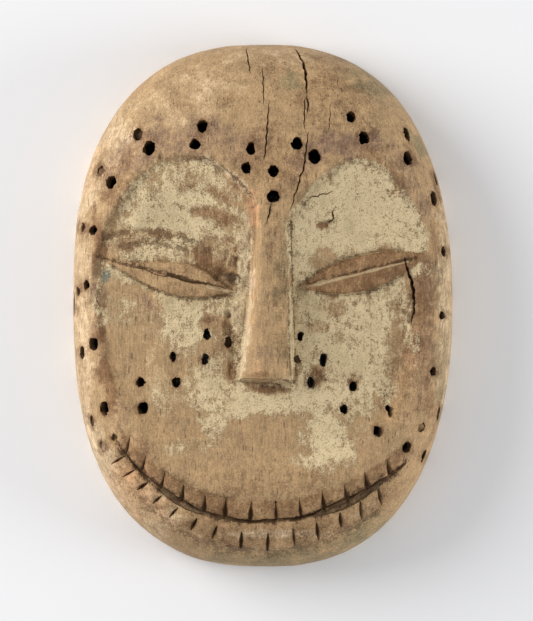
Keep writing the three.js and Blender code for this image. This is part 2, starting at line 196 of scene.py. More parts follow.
brow = {
    "left": {"side": -1, "peakX": 20.7, "peakY": 42.7, "innerRun": 18, "innerDrop": 11.7,
             "innerBend": 2, "outerRun": 28.3, "outerDrop": 29, "outerBend": 2.6},
    "right": {"side": 1, "peakX": 27.5, "peakY": 42, "innerRun": 19.7, "innerDrop": 14.7,
              "innerBend": 1.75, "outerRun": 21.9, "outerDrop": 26, "outerBend": 2.1},
}
face = {
    "sideTop": 14, "sideX": 49.2, "leftWider": 1.4, "sideCurve": 10, "sideRun": 47, "sideBend": 1.6,
    "floor": 30, "floorSide": 5.2, "floorSideAt": 45, "floorEnds": 2.5, "floorEndsAt": 70,
    "browShare": 0.36, "shareFrom": 32, "shareTo": 46, "scoopRun": 19,
    "edgeCrisp": 1.3, "leftSoft": 3.2, "rightSoft": 7.5, "softFrom": 15, "softTo": 45,
    "steepest": 1.4, "centreX": 2.5, "lipRow": 6, "lipFade": 17,
    "ridge": 0.5, "ridgeWidth": 1.7, "ridgeOff": 1.5, "ridgeStart": (-24, -16), "ridgeEnd": (-1, -4),
}


def browLine(x):
    lines = []
    for arc in brow.values():
        beyond = x * arc["side"] - arc["peakX"]
        inner = arc["innerDrop"] * (np.maximum(-beyond, 0) / arc["innerRun"]) ** arc["innerBend"]
        outer = arc["outerDrop"] * (np.maximum(beyond, 0) / arc["outerRun"]) ** arc["outerBend"]
        lines.append(arc["peakY"] - inner - outer)
    return np.where(x < face["centreX"], *lines)


def faceSide(y):
    below = np.maximum(face["sideTop"] - y, 0) / face["sideRun"]
    return face["sideX"] - face["sideCurve"] * below ** face["sideBend"]


def slopeOf(line, x, step=0.5):
    return (line(x + step) - line(x - step)) / (2 * step)


def underBrow(x, y):
    slope = np.clip(slopeOf(browLine, x), -face["steepest"], face["steepest"])
    return (browLine(x) - y) / np.hypot(1, slope)


def insideFace(x, y):
    fromSide = faceSide(y) + np.where(x < 0, face["leftWider"] + x, -x)
    return np.minimum(underBrow(x, y), fromSide)


def faceCut(x, y):
    # The face is cut back from the dome to a flatter floor: at once along the sides, and under the
    # brows with a low step that runs on as a scoop
    fallAcross = face["floorSide"] * (x / face["floorSideAt"]) ** 2
    fallAlong = face["floorEnds"] * (y / face["floorEndsAt"]) ** 2
    floor = face["floor"] - fallAcross - fallAlong
    depth = np.maximum(domeHeight(block, x, y) - floor, 0)
    beside = np.abs(x - face["centreX"])
    softness = smoothRise(face["softFrom"], face["softTo"], beside)
    soft = np.where(x < 0, face["leftSoft"], face["rightSoft"])
    step = smoothRise(0, mix(face["edgeCrisp"], soft, softness), insideFace(x, y))
    scoop = smoothRise(0, face["scoopRun"], underBrow(x, y))
    share = mix(face["browShare"], 1, smoothRise(face["shareFrom"], face["shareTo"], beside))
    aboveLip = smoothRise(0, face["lipFade"], y - mouthLine(x) - face["lipRow"])
    return depth * step * mix(scoop, 1, share) * aboveLip


# Two leaf-shaped eyes, each cut by a slit. For each lid: its reach, its skew along the eye and its bend

eyes = {
    "left": {"outer": (-47.5, 13.8), "inner": (-7.5, 3.7), "slitStart": 0.27, "slitEnd": 0.9,
             "upper": (5.0, 1.67, 1.05), "lower": (5.6, 1.16, 1), "slitWidth": 1.3, "slitDepth": 1.4},
    "right": {"outer": (47.5, 14.4), "inner": (9.3, 4.8), "slitStart": 0.13, "slitEnd": 0.97,
              "upper": (5.1, 1, 0.8), "lower": (6, 0.95, 1), "slitWidth": 0.9, "slitDepth": 0.3},
}
lid = {"rise": 2.2, "edgeStep": 1.1, "edgeWidth": 0.8, "least": 0.01,
       "stations": 24, "slitEnds": 0.35, "slitBend": 0.7, "slitSway": [(0.2, 17, 0)]}


def eyePlace(eye, x, y):
    (outerX, outerY), (innerX, innerY) = eye["outer"], eye["inner"]
    along = (x - outerX) / (innerX - outerX)
    return along, y - mix(outerY, innerY, along)


def lidReach(eye, along, up):
    inside = np.clip(along, 0, 1)
    reaches = [size * np.sin(np.pi * inside ** skew) ** bend
               for size, skew, bend in (eye["upper"], eye["lower"])]
    return np.maximum(np.where(up > 0, *reaches), 1e-6)   # never 0, because lidRise divides by it


def lidRise(x, y):
    total = np.zeros(np.shape(x))
    for eye in eyes.values():
        along, up = eyePlace(eye, x, y)
        reach = lidReach(eye, along, up)
        fullness = np.minimum(1, reach / eye["lower"][0])
        step = lid["edgeStep"] * smoothRise(0, lid["edgeWidth"], reach - np.abs(up))
        crown = np.maximum(0, 1 - (up / reach) ** 2)
        total += (step + (lid["rise"] - lid["edgeStep"]) * crown) * fullness * (reach > lid["least"])
    return total


# The mouth line, the lip under it and the row of teeth

mouth = {
    "lowest": -61.4, "reach": 41, "leftRise": 21.7, "leftBend": 2.5, "rightRise": 16.6, "rightBend": 2.15,
    "cutWidth": 1.1, "cutDepth": 1.5, "stations": 90, "endFade": 0.97, "endBend": 5,
    "wander": [(0.25, 0.41, 0), (0.12, 1.13, 1), (0.06, 2.9, 0)],   # size in mm, turns, phase
    "width": 0.8, "widthWaves": [(0.15, 0.83, 0), (0.1, 1.9, 2)], "liftWider": 0.5,
    # The wide places: middle, half length and how deep, then the gouge and the thin cut below it
    "gouged": [(-23.5, 8, 1.0), (24, 8.5, 1.3)], "gougeStations": 24, "gougeLift": 0.75,
    "gougeWidth": 2.2, "gougeDepth": 0.6, "gougeRun": 1.25, "gougeBend": 0.6, "gougeLeast": 0.05,
    "gougeSway": [(0.15, 1.3, 0)],
    "edgeCut": 0.7, "edgeRun": 1.2, "edgeBelow": 0.9, "edgeEnds": 0.3, "edgeSway": [(0.1, 2.1, 0)],
}
lip = {"height": 8.6, "sideLoss": 2, "undercut": 1.3, "edgeWidth": 0.9, "fadeFrom": 0.65,
       "fadeTo": 0.9, "bevel": 1, "bevelWidth": 2.6, "bevelFadeFrom": 0.9, "bevelFadeTo": 1.05}


def mouthLine(x):
    part = np.abs(x) / mouth["reach"]
    left = mouth["leftRise"] * part ** mouth["leftBend"]
    right = mouth["rightRise"] * part ** mouth["rightBend"]
    return mouth["lowest"] + np.where(x < 0, left, right)


def lipCut(x, y):
    below = mouthLine(x) - y
    sideways = np.abs(x) / mouth["reach"]
    height = lip["height"] - lip["sideLoss"] * sideways
    chin = lip["undercut"] * smoothRise(height, height + lip["edgeWidth"], below)
    bevel = lip["bevel"] * smoothRise(lip["bevelWidth"], 0, np.abs(below))
    chinFade = smoothRise(lip["fadeTo"], lip["fadeFrom"], sideways)
    return chin * chinFade + bevel * smoothRise(lip["bevelFadeTo"], lip["bevelFadeFrom"], sideways)


def faceHeight(x, y):
    return domeHeight(block, x, y) - faceCut(x, y) - lipCut(x, y)


# The nose beam, cut square at its tip

nose = {
    "top": 37, "root": 27, "clear": 19, "tip": -20.6, "flareTop": 26, "ridgeX": -0.1,
    "tipTilt": -0.09, "tiltRun": 6, "tipLean": 0.3, "leanRun": 4,
    "leftTop": -3.3, "leftFlare": 4.5, "leftBend": 2.2, "rightTop": 7.8, "rightFlare": 1.5,
    "leftFlank": 1.9, "rightFlank": 1.1, "leftShoulder": 1.5, "rightShoulder": 0.9,
    "below": 8, "proud": 0.1, "buried": 0.9, "stations": 110, "flankSteps": 9, "topSteps": 9,
}


def noseCorners(y):
    down = np.maximum((nose["flareTop"] - y) / (nose["flareTop"] - nose["tip"]), 0)
    left = nose["leftTop"] - nose["leftFlare"] * down ** nose["leftBend"]
    right = nose["rightTop"] + nose["rightFlare"] * down
    crest = domeHeight(block, nose["ridgeX"], y) + nose["proud"]
    crest = crest - nose["buried"] * smoothRise(nose["root"], nose["top"], y)
    shoulder = smoothRise(nose["root"], nose["clear"], y)
    return [
        (left, crest - nose["below"]),
        (left + nose["leftFlank"], crest - nose["leftShoulder"] * shoulder),
        (nose["ridgeX"] + 0 * y, crest),
        (right - nose["rightFlank"], crest - nose["rightShoulder"] * shoulder),
        (right, crest - nose["below"]),
    ]


def noseHeight(x, y):
    corners = noseCorners(y)
    height = np.zeros(np.shape(x))
    for (fromX, fromZ), (toX, toZ) in zip(corners, corners[1:]):
        between = (x >= fromX) & (x < toX)
        part = (x - fromX) / (toX - fromX)
        height = np.where(between, mix(fromZ, toZ, part), height)
    return np.where((y < nose["top"]) & (y > nose["tip"]), height, 0)


def frontHeight(x, y):
    return np.maximum(faceHeight(x, y) + lidRise(x, y), noseHeight(x, y))


def frontPoint(x, y):
    return np.stack([x, y, frontHeight(x, y)], axis=-1)


def upFrom(height, x, y, step=0.4):
    slopeX = (height(x + step, y) - height(x - step, y)) / (2 * step)
    slopeY = (height(x, y + step) - height(x, y - step)) / (2 * step)
    up = np.stack([-slopeX, -slopeY, np.ones(np.shape(x))], axis=-1)
    return up / np.linalg.norm(up, axis=-1, keepdims=True)


# Domes are made from a square grid folded onto the oval, with no pole and even cells

def ringSpacing(oval):
    # Rings lie closer where the dome gets steep
    out = np.linspace(0, 1, 4001)
    rise = (1 - out ** oval["domeFlat"]) ** (1 / oval["domeRound"]) * oval["depth"] / oval["halfWidth"]
    run = np.concatenate([[0], np.cumsum(np.hypot(np.diff(out), 0.5 * np.diff(rise)))])
    return np.interp(np.linspace(0, run[-1], oval["rings"] + 1), run, out)


def domeSolid(name, oval, heightAt):
    rings = oval["rings"]
    count = 2 * rings + 1
    column, row = np.meshgrid(np.arange(count) - rings, np.arange(count) - rings, indexing="ij")
    wide = np.abs(column) >= np.abs(row)
    signed = np.where(wide, column, row)
    other = np.where(wide, row, column)
    turn = np.pi / 4 * np.divide(other, signed, out=np.zeros(signed.shape), where=signed != 0)
    ring = np.abs(signed)
    reach = np.sign(signed) * ringSpacing(oval)[ring]
    x = oval["halfWidth"] * (reach * np.where(wide, np.cos(turn), np.sin(turn)))
    y = oval["halfLength"] * (reach * np.where(wide, np.sin(turn), np.cos(turn)))
    angle = np.arctan2(y, x)
    ellipse = 1 / np.hypot(np.cos(angle) / oval["halfWidth"], np.sin(angle) / oval["halfLength"])
    lean = outlineReach(oval, angle) / ellipse
    x, y = (x * lean).ravel(), (y * lean).ravel()
    points = np.stack([x, y, heightAt(x, y)], axis=-1)
    index = np.arange(count * count).reshape(count, count)
    quads = np.stack([index[:-1, :-1], index[1:, :-1], index[1:, 1:], index[:-1, 1:]], axis=-1)
    border = np.concatenate([index[:-1, 0], index[-1, :-1], index[:0:-1, -1], index[0, :0:-1]])
    faces = quads.reshape(-1, 4).tolist()
    points = [points]
    above = border
    start = count * count
    for step in range(1, oval["sideRows"] + 1):
        wall = points[0][border].copy()
        wall[:, 2] = mix(wall[:, 2], oval["bottom"], step / oval["sideRows"])
        points.append(wall)
        below = start + np.arange(len(border))
        start += len(border)
        faces += np.stack([below, np.roll(below, -1), np.roll(above, -1), above], axis=-1).tolist()
        above = below
    faces.append(above[::-1].tolist())
    return meshObject(name, np.concatenate(points), ([], faces))


# Tool marks inside the back: shallow scoops left by the blade, longest along the grain

backScoops = {"Width": 7.5 * mm, "Length": 13.0 * mm, "Depth": 0.5 * mm, "Seed": 3}


def scoopTree():
    tree, sizes = newTree("bladeScoops", {"Width": 1.0, "Length": 1.0, "Depth": 1.0, "Seed": 1})
    place = addNode(tree, "GeometryNodeInputPosition")
    cell = addNode(tree, "ShaderNodeCombineXYZ",
                   inputs={"X": sizes["Width"], "Y": sizes["Length"], "Z": sizes["Width"]})
    scaled = addNode(tree, "ShaderNodeVectorMath", {"operation": "DIVIDE"}, {0: place, 1: cell})
    scoops = addNode(tree, "ShaderNodeTexVoronoi", {"voronoi_dimensions": "4D", "feature": "F1"},
                     {"Vector": scaled, "W": sizes["Seed"], "Scale": 1, "Randomness": 0.75})
    squared = addNode(tree, "ShaderNodeMath", {"operation": "POWER"}, {0: scoops.outputs["Distance"], 1: 2})
    lift = addNode(tree, "ShaderNodeMath", {"operation": "MULTIPLY"}, {0: squared, 1: sizes["Depth"]})
    out = addNode(tree, "GeometryNodeInputNormal")
    offset = addNode(tree, "ShaderNodeVectorMath", {"operation": "SCALE"}, {0: out, "Scale": lift})
    moved = addNode(tree, "GeometryNodeSetPosition",
                    inputs={"Geometry": sizes["Geometry"], "Offset": offset})
    endTree(tree, moved, sizes["Material"])
    return tree


# Knife cuts: a wedge swept along a line of points that know which way is up

def knifeTree():
    tree, sizes = newTree("knifeCut", {"Width": 1.0, "Depth": 1.0, "Clearance": 1.0})
    line = addNode(tree, "GeometryNodeMeshToCurve", inputs={"Mesh": sizes["Geometry"]})
    up = addNode(tree, "GeometryNodeInputNamedAttribute", {"data_type": "FLOAT_VECTOR"}, {"Name": "up"})
    opening = addNode(tree, "GeometryNodeInputNamedAttribute", {"data_type": "FLOAT"}, {"Name": "open"})
    along = addNode(tree, "GeometryNodeInputTangent")
    across = addNode(tree, "ShaderNodeVectorMath", {"operation": "CROSS_PRODUCT"}, {0: up, 1: along})
    tilted = addNode(tree, "GeometryNodeSetCurveNormal", {"mode": "FREE"},
                     {"Curve": line, "Normal": across})
    wedge = addNode(tree, "GeometryNodeCurvePrimitiveQuadrilateral", {"mode": "KITE"},
                    {"Width": sizes["Width"], "Bottom Height": sizes["Depth"],
                     "Top Height": sizes["Clearance"]})
    swept = addNode(tree, "GeometryNodeCurveToMesh",
                    inputs={"Curve": tilted, "Profile Curve": wedge,
                            "Scale": opening, "Fill Caps": True})
    endTree(tree, swept, sizes["Material"])
    return tree


cutTree = knifeTree()


def cutLines(piece, name, lines, width, depth, clearance=1.2):
    # One knife pass. Each line is a list of x, y and opening, 1 where the cut is widest
    points, ups, opens, edges = [], [], [], []
    for line in lines:
        line = np.asarray(line, float)
        first = len(points)
        points += frontPoint(line[:, 0], line[:, 1]).tolist()
        ups += upFrom(frontHeight, line[:, 0], line[:, 1]).tolist()
        opens += line[:, 2].tolist()
        edges += [(first + i, first + i + 1) for i in range(len(line) - 1)]
    tool = meshObject(name, points, (edges, []), {"up": ups, "open": opens})
    runTree(tool, cutTree, {"Width": width * mm, "Depth": depth * mm, "Clearance": clearance * mm}, None)
    cutWith(piece, tool)


# Burnt and drilled cord holes: a rough prism on each point, square to the dome

def drillTree():
    tree, sizes = newTree("drilledHole", {"Sides": 11, "Roughness": 1.0, "Grain": 1.0, "Seed": 1})
    prism = addNode(tree, "GeometryNodeMeshCylinder", {"fill_type": "NGON"},
                    {"Vertices": sizes["Sides"], "Side Segments": 14, "Radius": 0.5, "Depth": 1})
    sunk = addNode(tree, "GeometryNodeTransform",
                   inputs={"Geometry": prism.outputs["Mesh"], "Translation": (0, 0, -0.5)})
    up = addNode(tree, "GeometryNodeInputNamedAttribute", {"data_type": "FLOAT_VECTOR"}, {"Name": "up"})
    size = addNode(tree, "GeometryNodeInputNamedAttribute", {"data_type": "FLOAT_VECTOR"}, {"Name": "size"})
    turned = addNode(tree, "FunctionNodeAlignRotationToVector", {"axis": "Z"}, {"Vector": up})
    each = addNode(tree, "GeometryNodeInstanceOnPoints",
                   inputs={"Points": sizes["Geometry"], "Instance": sunk,
                           "Rotation": turned, "Scale": size})
    real = addNode(tree, "GeometryNodeRealizeInstances", inputs={"Geometry": each})
    place = addNode(tree, "GeometryNodeInputPosition")
    scale = addNode(tree, "ShaderNodeMath", {"operation": "DIVIDE"}, {0: 1, 1: sizes["Grain"]})
    rough = addNode(tree, "ShaderNodeTexNoise", {"noise_dimensions": "4D"},
                    {"Vector": place, "W": sizes["Seed"], "Scale": scale, "Detail": 1})
    centred = addNode(tree, "ShaderNodeVectorMath", {"operation": "SUBTRACT"},
                      {0: rough.outputs["Color"], 1: (0.5, 0.5, 0.5)})
    nudge = addNode(tree, "ShaderNodeVectorMath", {"operation": "SCALE"},
                    {0: centred, "Scale": sizes["Roughness"]})
    moved = addNode(tree, "GeometryNodeSetPosition", inputs={"Geometry": real, "Offset": nudge})
    endTree(tree, moved, sizes["Material"])
    return tree


# x, y, width across, height up the grain; a fifth number is how deep a blind or plugged hole goes
holes = {
    "forehead": [
        (-17.2, 51.1, 2.9, 3.5), (-19.2, 45.8, 2.9, 3.4), (-3.3, 44.7, 2.6, 3.7), (-4.5, 39.1, 2.6, 3.2),
        (3.1, 38.3, 3.1, 3.1), (3.1, 31.0, 3.3, 3.3), (9.9, 46.2, 2.9, 3.4), (14.8, 42.5, 3.2, 3.8),
        (25.3, 53.8, 2.7, 3.0), (28.9, 47.7, 3.2, 3.8), (41.2, 49.0, 2.4, 4.3, 2.6), (41.4, 42.0, 3.2, 4.1),
        (-35.6, 48.9, 2.9, 3.4, 2.0), (-32.3, 44.9, 3.4, 4.1),
    ],
    "leftRim": [
        (-43.2, 35.2, 3.4, 3.5), (-46.2, 38.6, 2.8, 2.9, 0.6), (-48.4, 21.6, 3.4, 2.7),
        (-51.2, 22.3, 3.0, 2.6, 0.7), (-50.3, 5.9, 2.6, 2.7), (-52.6, 4.2, 2.6, 2.6), (-53.8, 0.2, 2.6, 6.6),
        (-48.3, -11.0, 3.3, 3.5), (-51.5, -13.3, 2.8, 3.5), (-45.1, -29.5, 3.4, 3.8),
        (-48.7, -32.9, 2.6, 3.3, 0.7), (-42.1, -37.6, 2.1, 2.5, 0.9), (-45.4, -40.4, 2.8, 3.5, 0.6),
    ],
    "rightRim": [
        (48.9, 30.6, 3.3, 4.3), (49.5, 36.3, 2.2, 4.2), (51.7, 15.4, 3.4, 2.7), (51.4, -2.7, 3.4, 2.4, 3.5),
        (48.7, -18.8, 2.6, 2.2), (45.5, -34.7, 2.9, 2.7, 0.6), (50.4, -30.8, 2.6, 3.9),
        (41.2, -40.3, 2.9, 2.7), (46.1, -43.0, 2.6, 3.6, 3.5),
    ],
    "leftCheek": [
        (-16.0, -8.2, 2.1, 2.8), (-16.4, -15.2, 2.0, 2.7), (-9.7, -10.3, 1.9, 2.8, 2.2),
        (-25.4, -14.5, 2.0, 2.5), (-24.6, -21.8, 2.4, 2.8), (-34.9, -21.9, 2.4, 2.7),
        (-34.1, -29.1, 2.9, 3.3),
    ],
    "rightCheek": [
        (10.7, -8.7, 1.7, 2.5), (9.9, -15.3, 1.3, 2.3, 1.1), (17.3, -15.5, 2.0, 3.5), (13.8, -21.9, 2.0, 3.1),
        (26.0, -22.9, 2.3, 2.5), (23.2, -29.5, 2.4, 2.6), (36.2, -29.9, 1.6, 2.8), (32.9, -35.7, 2.3, 2.8),
    ],
}
drill = {"lift": 3, "through": 15, "wider": 1.08, "sides": 16, "roughness": 2.2, "grain": 1.1, "seed": 4,
         "halo": 1.0, "haloDirt": 0.6}   # a ring of dirt around each hole


def drillHoles(piece):
    spots = [hole for group in holes.values() for hole in group]
    x, y = (np.array([spot[axis] for spot in spots]) for axis in (0, 1))
    deep = np.array([spot[4] if len(spot) > 4 else drill["through"] for spot in spots])
    up = upFrom(lambda px, py: domeHeight(block, px, py), x, y)
    points = frontPoint(x, y) + drill["lift"] * up
    across, along = (drill["wider"] * np.array([spot[axis] for spot in spots]) for axis in (2, 3))
    size = np.stack([across, along, deep + drill["lift"]], axis=-1)
    tool = meshObject("drill", points, ([], []), {"up": up, "size": size * mm})
    runTree(tool, drillTree(), {"Sides": drill["sides"], "Roughness": drill["roughness"] * mm,
                                "Grain": drill["grain"] * mm, "Seed": drill["seed"]}, None)
    cutWith(piece, tool)


# The nose beam as a swept section with a worn left edge

def noseBeam():
    rows = []
    for y in np.linspace(nose["tip"], nose["top"], nose["stations"]):
        corners = np.array([(float(x), float(z)) for x, z in noseCorners(y)])
        section = []
        steps = [nose["flankSteps"], nose["topSteps"] // 2, nose["topSteps"], nose["flankSteps"] // 2]
        for (start, end), count in zip(zip(corners, corners[1:]), steps):
            section += [mix(start, end, step / count) for step in range(count)]
        section = np.array(section + [corners[-1]])
        soft = section.copy()   # corners worn round
        soft[1:-1] = (section[:-2] + 2 * section[1:-1] + section[2:]) / 4
        tilt = nose["tipTilt"] * soft[:, 0] * smoothRise(nose["tip"] + nose["tiltRun"], nose["tip"], y)
        under = soft[:, 1].max() - soft[:, 1]
        lean = nose["tipLean"] * under * smoothRise(nose["tip"] + nose["leanRun"], nose["tip"], y)
        rows.append(np.stack([soft[:, 0], y + tilt - lean, soft[:, 1]], axis=-1))
    count = len(rows[0])
    points = np.concatenate(rows)
    faces = []
    for row in range(len(rows) - 1):
        for i in range(count):
            here, after = row * count + i, row * count + (i + 1) % count
            faces.append((here, after, after + count, here + count))
    faces.append(list(range(count))[::-1])
    faces.append([(len(rows) - 1) * count + i for i in range(count)])
    return meshObject("nose", points, ([], faces))


# Gaps between the teeth, where they meet the mouth line

teeth = {
    "above": [-39, -34.5, -29, -23.2, -16.7, -10.8, -3.5, 3.9, 11, 17.7, 24.3, 30.3, 36.5],
    "below": [-39.1, -36, -32.6, -28.6, -24, -18.6, -12.9, -5.9, 1.6, 8.7, 15.4, 22.1, 27.9, 33.1],
    "aboveLength": 5.7, "aboveLean": -0.035, "belowStart": 0.5, "belowStartMiddle": 3, "belowLength": 4.9,
    "belowSideLoss": 0.07, "leftLean": 0.1, "rightLean": 0.025,
    "aboveWidth": 2.0, "aboveDepth": 1.5, "belowWidth": 1.5, "belowDepth": 1.4,
    "shoulder": 2.1, "shoulderDepth": 0.55, "shoulderFrom": 8,
    # How far each gap strays from the rest, by chance
    "aboveWide": (0.7, 1.15), "aboveLong": (0.8, 1.15), "aboveSway": 0.25, "aboveSeed": 11,
    "belowWide": (0.7, 1.2), "belowLong": (0.85, 1.15), "belowSway": 0.3, "belowSeed": 12,
    # Along each gap: how far, and how open
    "aboveTaper": [(0, 0.7), (0.25, 1.0), (0.55, 0.7), (1, 0.15)],
    "belowTaper": [(0, 0.3), (0.3, 0.8), (0.65, 1.0), (1, 0.3)],
}


def gapsAbove():
    dice = np.random.default_rng(teeth["aboveSeed"])
    lines = []
    for x in teeth["above"]:
        foot = float(mouthLine(np.float64(x)))
        wide = dice.uniform(*teeth["aboveWide"])
        length = dice.uniform(*teeth["aboveLong"]) * teeth["aboveLength"]
        sway = dice.uniform(-teeth["aboveSway"], teeth["aboveSway"])
        lines.append([(x + (teeth["aboveLean"] * x + sway) * part, foot + length * part, wide * opening)
                      for part, opening in teeth["aboveTaper"]])
    return lines


def gapsBelow():
    dice = np.random.default_rng(teeth["belowSeed"])
    lines = []
    for x in teeth["below"]:
        lean = (teeth["leftLean"] if x < 0 else teeth["rightLean"]) * x
        lean += dice.uniform(-teeth["belowSway"], teeth["belowSway"])
        length = teeth["belowLength"] + teeth["belowSideLoss"] * min(x, 0)
        length *= dice.uniform(*teeth["belowLong"])
        gap = teeth["belowStart"] + teeth["belowStartMiddle"] * (1 - abs(x) / mouth["reach"])
        start = float(mouthLine(np.float64(x))) - gap
        wide = dice.uniform(*teeth["belowWide"])
        lines.append([(x + lean * part, start - length * part, wide * opening)
                      for part, opening in teeth["belowTaper"]])
    return lines


def toothShoulders(x, y):
    # The wood is worn round beside each gap
    worn = np.zeros(len(x))
    for line in gapsAbove() + gapsBelow():
        (startX, startY, _), (endX, endY, _) = line[0], line[-1]
        runX, runY = endX - startX, endY - startY
        part = np.clip(((x - startX) * runX + (y - startY) * runY) / (runX ** 2 + runY ** 2), 0, 1)
        off = np.hypot(x - startX - part * runX, y - startY - part * runY)
        worn = np.maximum(worn, smoothRise(teeth["shoulder"], 0, off))
    return worn


def mouthLift(x):
    # The cut runs along the upper edge of the wide places
    return sum(mouth["gougeLift"] * share * np.exp(-((x - middle) / halfLength) ** 2)
               for middle, halfLength, share in mouth["gouged"])


def mouthRoute():
    x = np.linspace(-mouth["reach"], mouth["reach"], mouth["stations"])
    fade = np.sqrt(1 - mouth["endFade"] * (np.abs(x) / mouth["reach"]) ** mouth["endBend"])
    wide = waves(x, mouth["widthWaves"], mouth["width"])
    lift = mouthLift(x)
    y = mouthLine(x) + waves(x, mouth["wander"]) + lift
    return np.stack([x, y, (wide + mouth["liftWider"] * lift) * fade], axis=-1)


def gougeRoutes():
    # Wide shallow cuts beside the mouth line, where dirt has gathered
    routes = []
    for middle, halfLength, share in mouth["gouged"]:
        part = np.linspace(-1, 1, mouth["gougeStations"])
        x = middle + mouth["gougeRun"] * halfLength * part
        full = share * (1 - part ** 2) ** mouth["gougeBend"] + mouth["gougeLeast"]
        routes.append(np.stack([x, mouthLine(x) + waves(x, mouth["gougeSway"]), full], axis=-1))
    return routes


def lowerEdges():
    # The thin cut along the lower edge of each wide place
    routes = []
    for middle, halfLength, share in mouth["gouged"]:
        part = np.linspace(-1, 1, mouth["gougeStations"])
        x = middle + mouth["edgeRun"] * halfLength * part
        full = 1 - part ** 2
        y = mouthLine(x) - mouth["edgeBelow"] * share * full + waves(x, mouth["edgeSway"])
        routes.append(np.stack([x, y, mix(mouth["edgeEnds"], 1, full)], axis=-1))
    return routes


def slitRoute(eye):
    part = np.linspace(0, 1, lid["stations"])
    along = mix(eye["slitStart"], eye["slitEnd"], part)
    x = mix(eye["outer"][0], eye["inner"][0], along)
    y = mix(eye["outer"][1], eye["inner"][1], along) + waves(part, lid["slitSway"])
    full = mix(lid["slitEnds"], 1, np.sin(np.pi * part) ** lid["slitBend"])
    return np.stack([x, y, full], axis=-1)


# Drying cracks along the grain: points of x and y, then the widest opening in mm
cracks = {
    "lines": [
        ([(9.6, 73.4), (10.8, 71.2), (11.6, 69.7), (12.3, 66.9), (12.4, 65.6), (12.6, 63),
          (12.6, 60.4)], 1.0),
        ([(12.6, 59.9), (13.1, 57.3), (12.8, 54.8)], 0.6),
        ([(13.1, 49.4), (12.6, 45.9), (12.1, 41.9), (11.8, 38.9), (10.8, 36.9), (10.2, 34.0), (9.1, 31.4),
          (8.6, 28.8), (8.0, 27.3)], 0.6),
        ([(-4.6, 73.6), (-4.2, 70.7), (-3.4, 66.1)], 0.5),
        ([(1.9, 58.0), (1.6, 54.4), (1.3, 50.0), (1.0, 45.6), (0.5, 41.6)], 0.5),
        ([(40.5, 13.9), (41.3, 10.2), (42.3, 7.7), (42.9, 4.5), (43.1, 1.4), (43.1, -1.8),
          (42.1, -5.2)], 1.15),
        ([(20.4, 68.7), (21.0, 66.6), (21.5, 65.0)], 0.25),
        ([(19.2, 57.4), (19.3, 54.4), (18.8, 49.1)], 0.3),
        ([(0, 67.7), (0.2, 64.1), (0.3, 60.7), (0.3, 57.3)], 0.4),
        ([(12.1, 59.2), (12.0, 56.0), (11.9, 52.8), (11.9, 50.2)], 0.4),
        ([(21.4, 65.2), (21.5, 61.9)], 0.25),
        ([(2.5, 29.0), (2.1, 27.0), (1.7, 25.2), (1.1, 23.4)], 0.4),
        ([(13.4, 30.2), (14.2, 31.3), (15.6, 30.9), (16.7, 31.9), (18.3, 31.7), (20.0, 32.6)], 0.5),
        ([(20.3, 27.4), (19.9, 26.0), (20.3, 24.8), (19.2, 23.6), (17.6, 23.9)], 0.5),
    ],
    "step": 0.8, "depth": 2.2, "ends": 0.3, "bend": 0.6, "rough": (0.25, 3.1), "fine": (0.15, 7.3, 0),
    "sway": (0.12, 2.1), "swayShift": 5,
}


def crackLines(group):
    lines = []
    for route, width in group:
        route = np.array(route)
        run = np.concatenate([[0], np.cumsum(np.hypot(*np.diff(route, axis=0).T))])
        place = np.linspace(0, run[-1], max(3, int(run[-1] / cracks["step"])))
        x, y = (np.interp(place, run, route[:, axis]) for axis in (0, 1))
        swell = np.maximum(np.sin(np.pi * place / run[-1]), 0) ** cracks["bend"]
        rough = waves(place, [(*cracks["rough"], route[0, 0]), cracks["fine"]], 1)
        sway = waves(place, [(*cracks["sway"], cracks["swayShift"] * width)])
        lines.append(np.stack([x + sway, y, width * rough * mix(cracks["ends"], 1, swell)], axis=-1))
    return lines


def carveMask():
    piece = domeSolid("mask", block, lambda x, y: faceHeight(x, y) + lidRise(x, y))
    cutWith(piece, noseBeam(), "UNION")
    print("block and nose shaped")
    inside = domeSolid("inside", hollow, lambda x, y: domeHeight(hollow, x, y))
    runTree(inside, scoopTree(), backScoops, None)
    cutWith(piece, inside)
    print("back hollowed")
    cutLines(piece, "gouge", gougeRoutes(), mouth["gougeWidth"], mouth["gougeDepth"])
    cutLines(piece, "mouthKnife", [mouthRoute()], mouth["cutWidth"], mouth["cutDepth"])
    cutLines(piece, "edgeKnife", lowerEdges(), mouth["edgeCut"], mouth["edgeCut"])
    cutLines(piece, "gapKnife", gapsAbove(), teeth["aboveWidth"], teeth["aboveDepth"])
    cutLines(piece, "gapKnife", gapsBelow(), teeth["belowWidth"], teeth["belowDepth"])
    for eye in eyes.values():
        cutLines(piece, "slitKnife", [slitRoute(eye)], eye["slitWidth"], eye["slitDepth"])
    print("mouth, teeth and eyes cut")
    for line in crackLines(cracks["lines"]):
        cutLines(piece, "crack", [line], 1.0, cracks["depth"])   # its opening is in mm already
    print("cracks opened")
    drillHoles(piece)
    return piece


mask = carveMask()
print("mask carved", len(mask.data.vertices), len(mask.data.polygons))
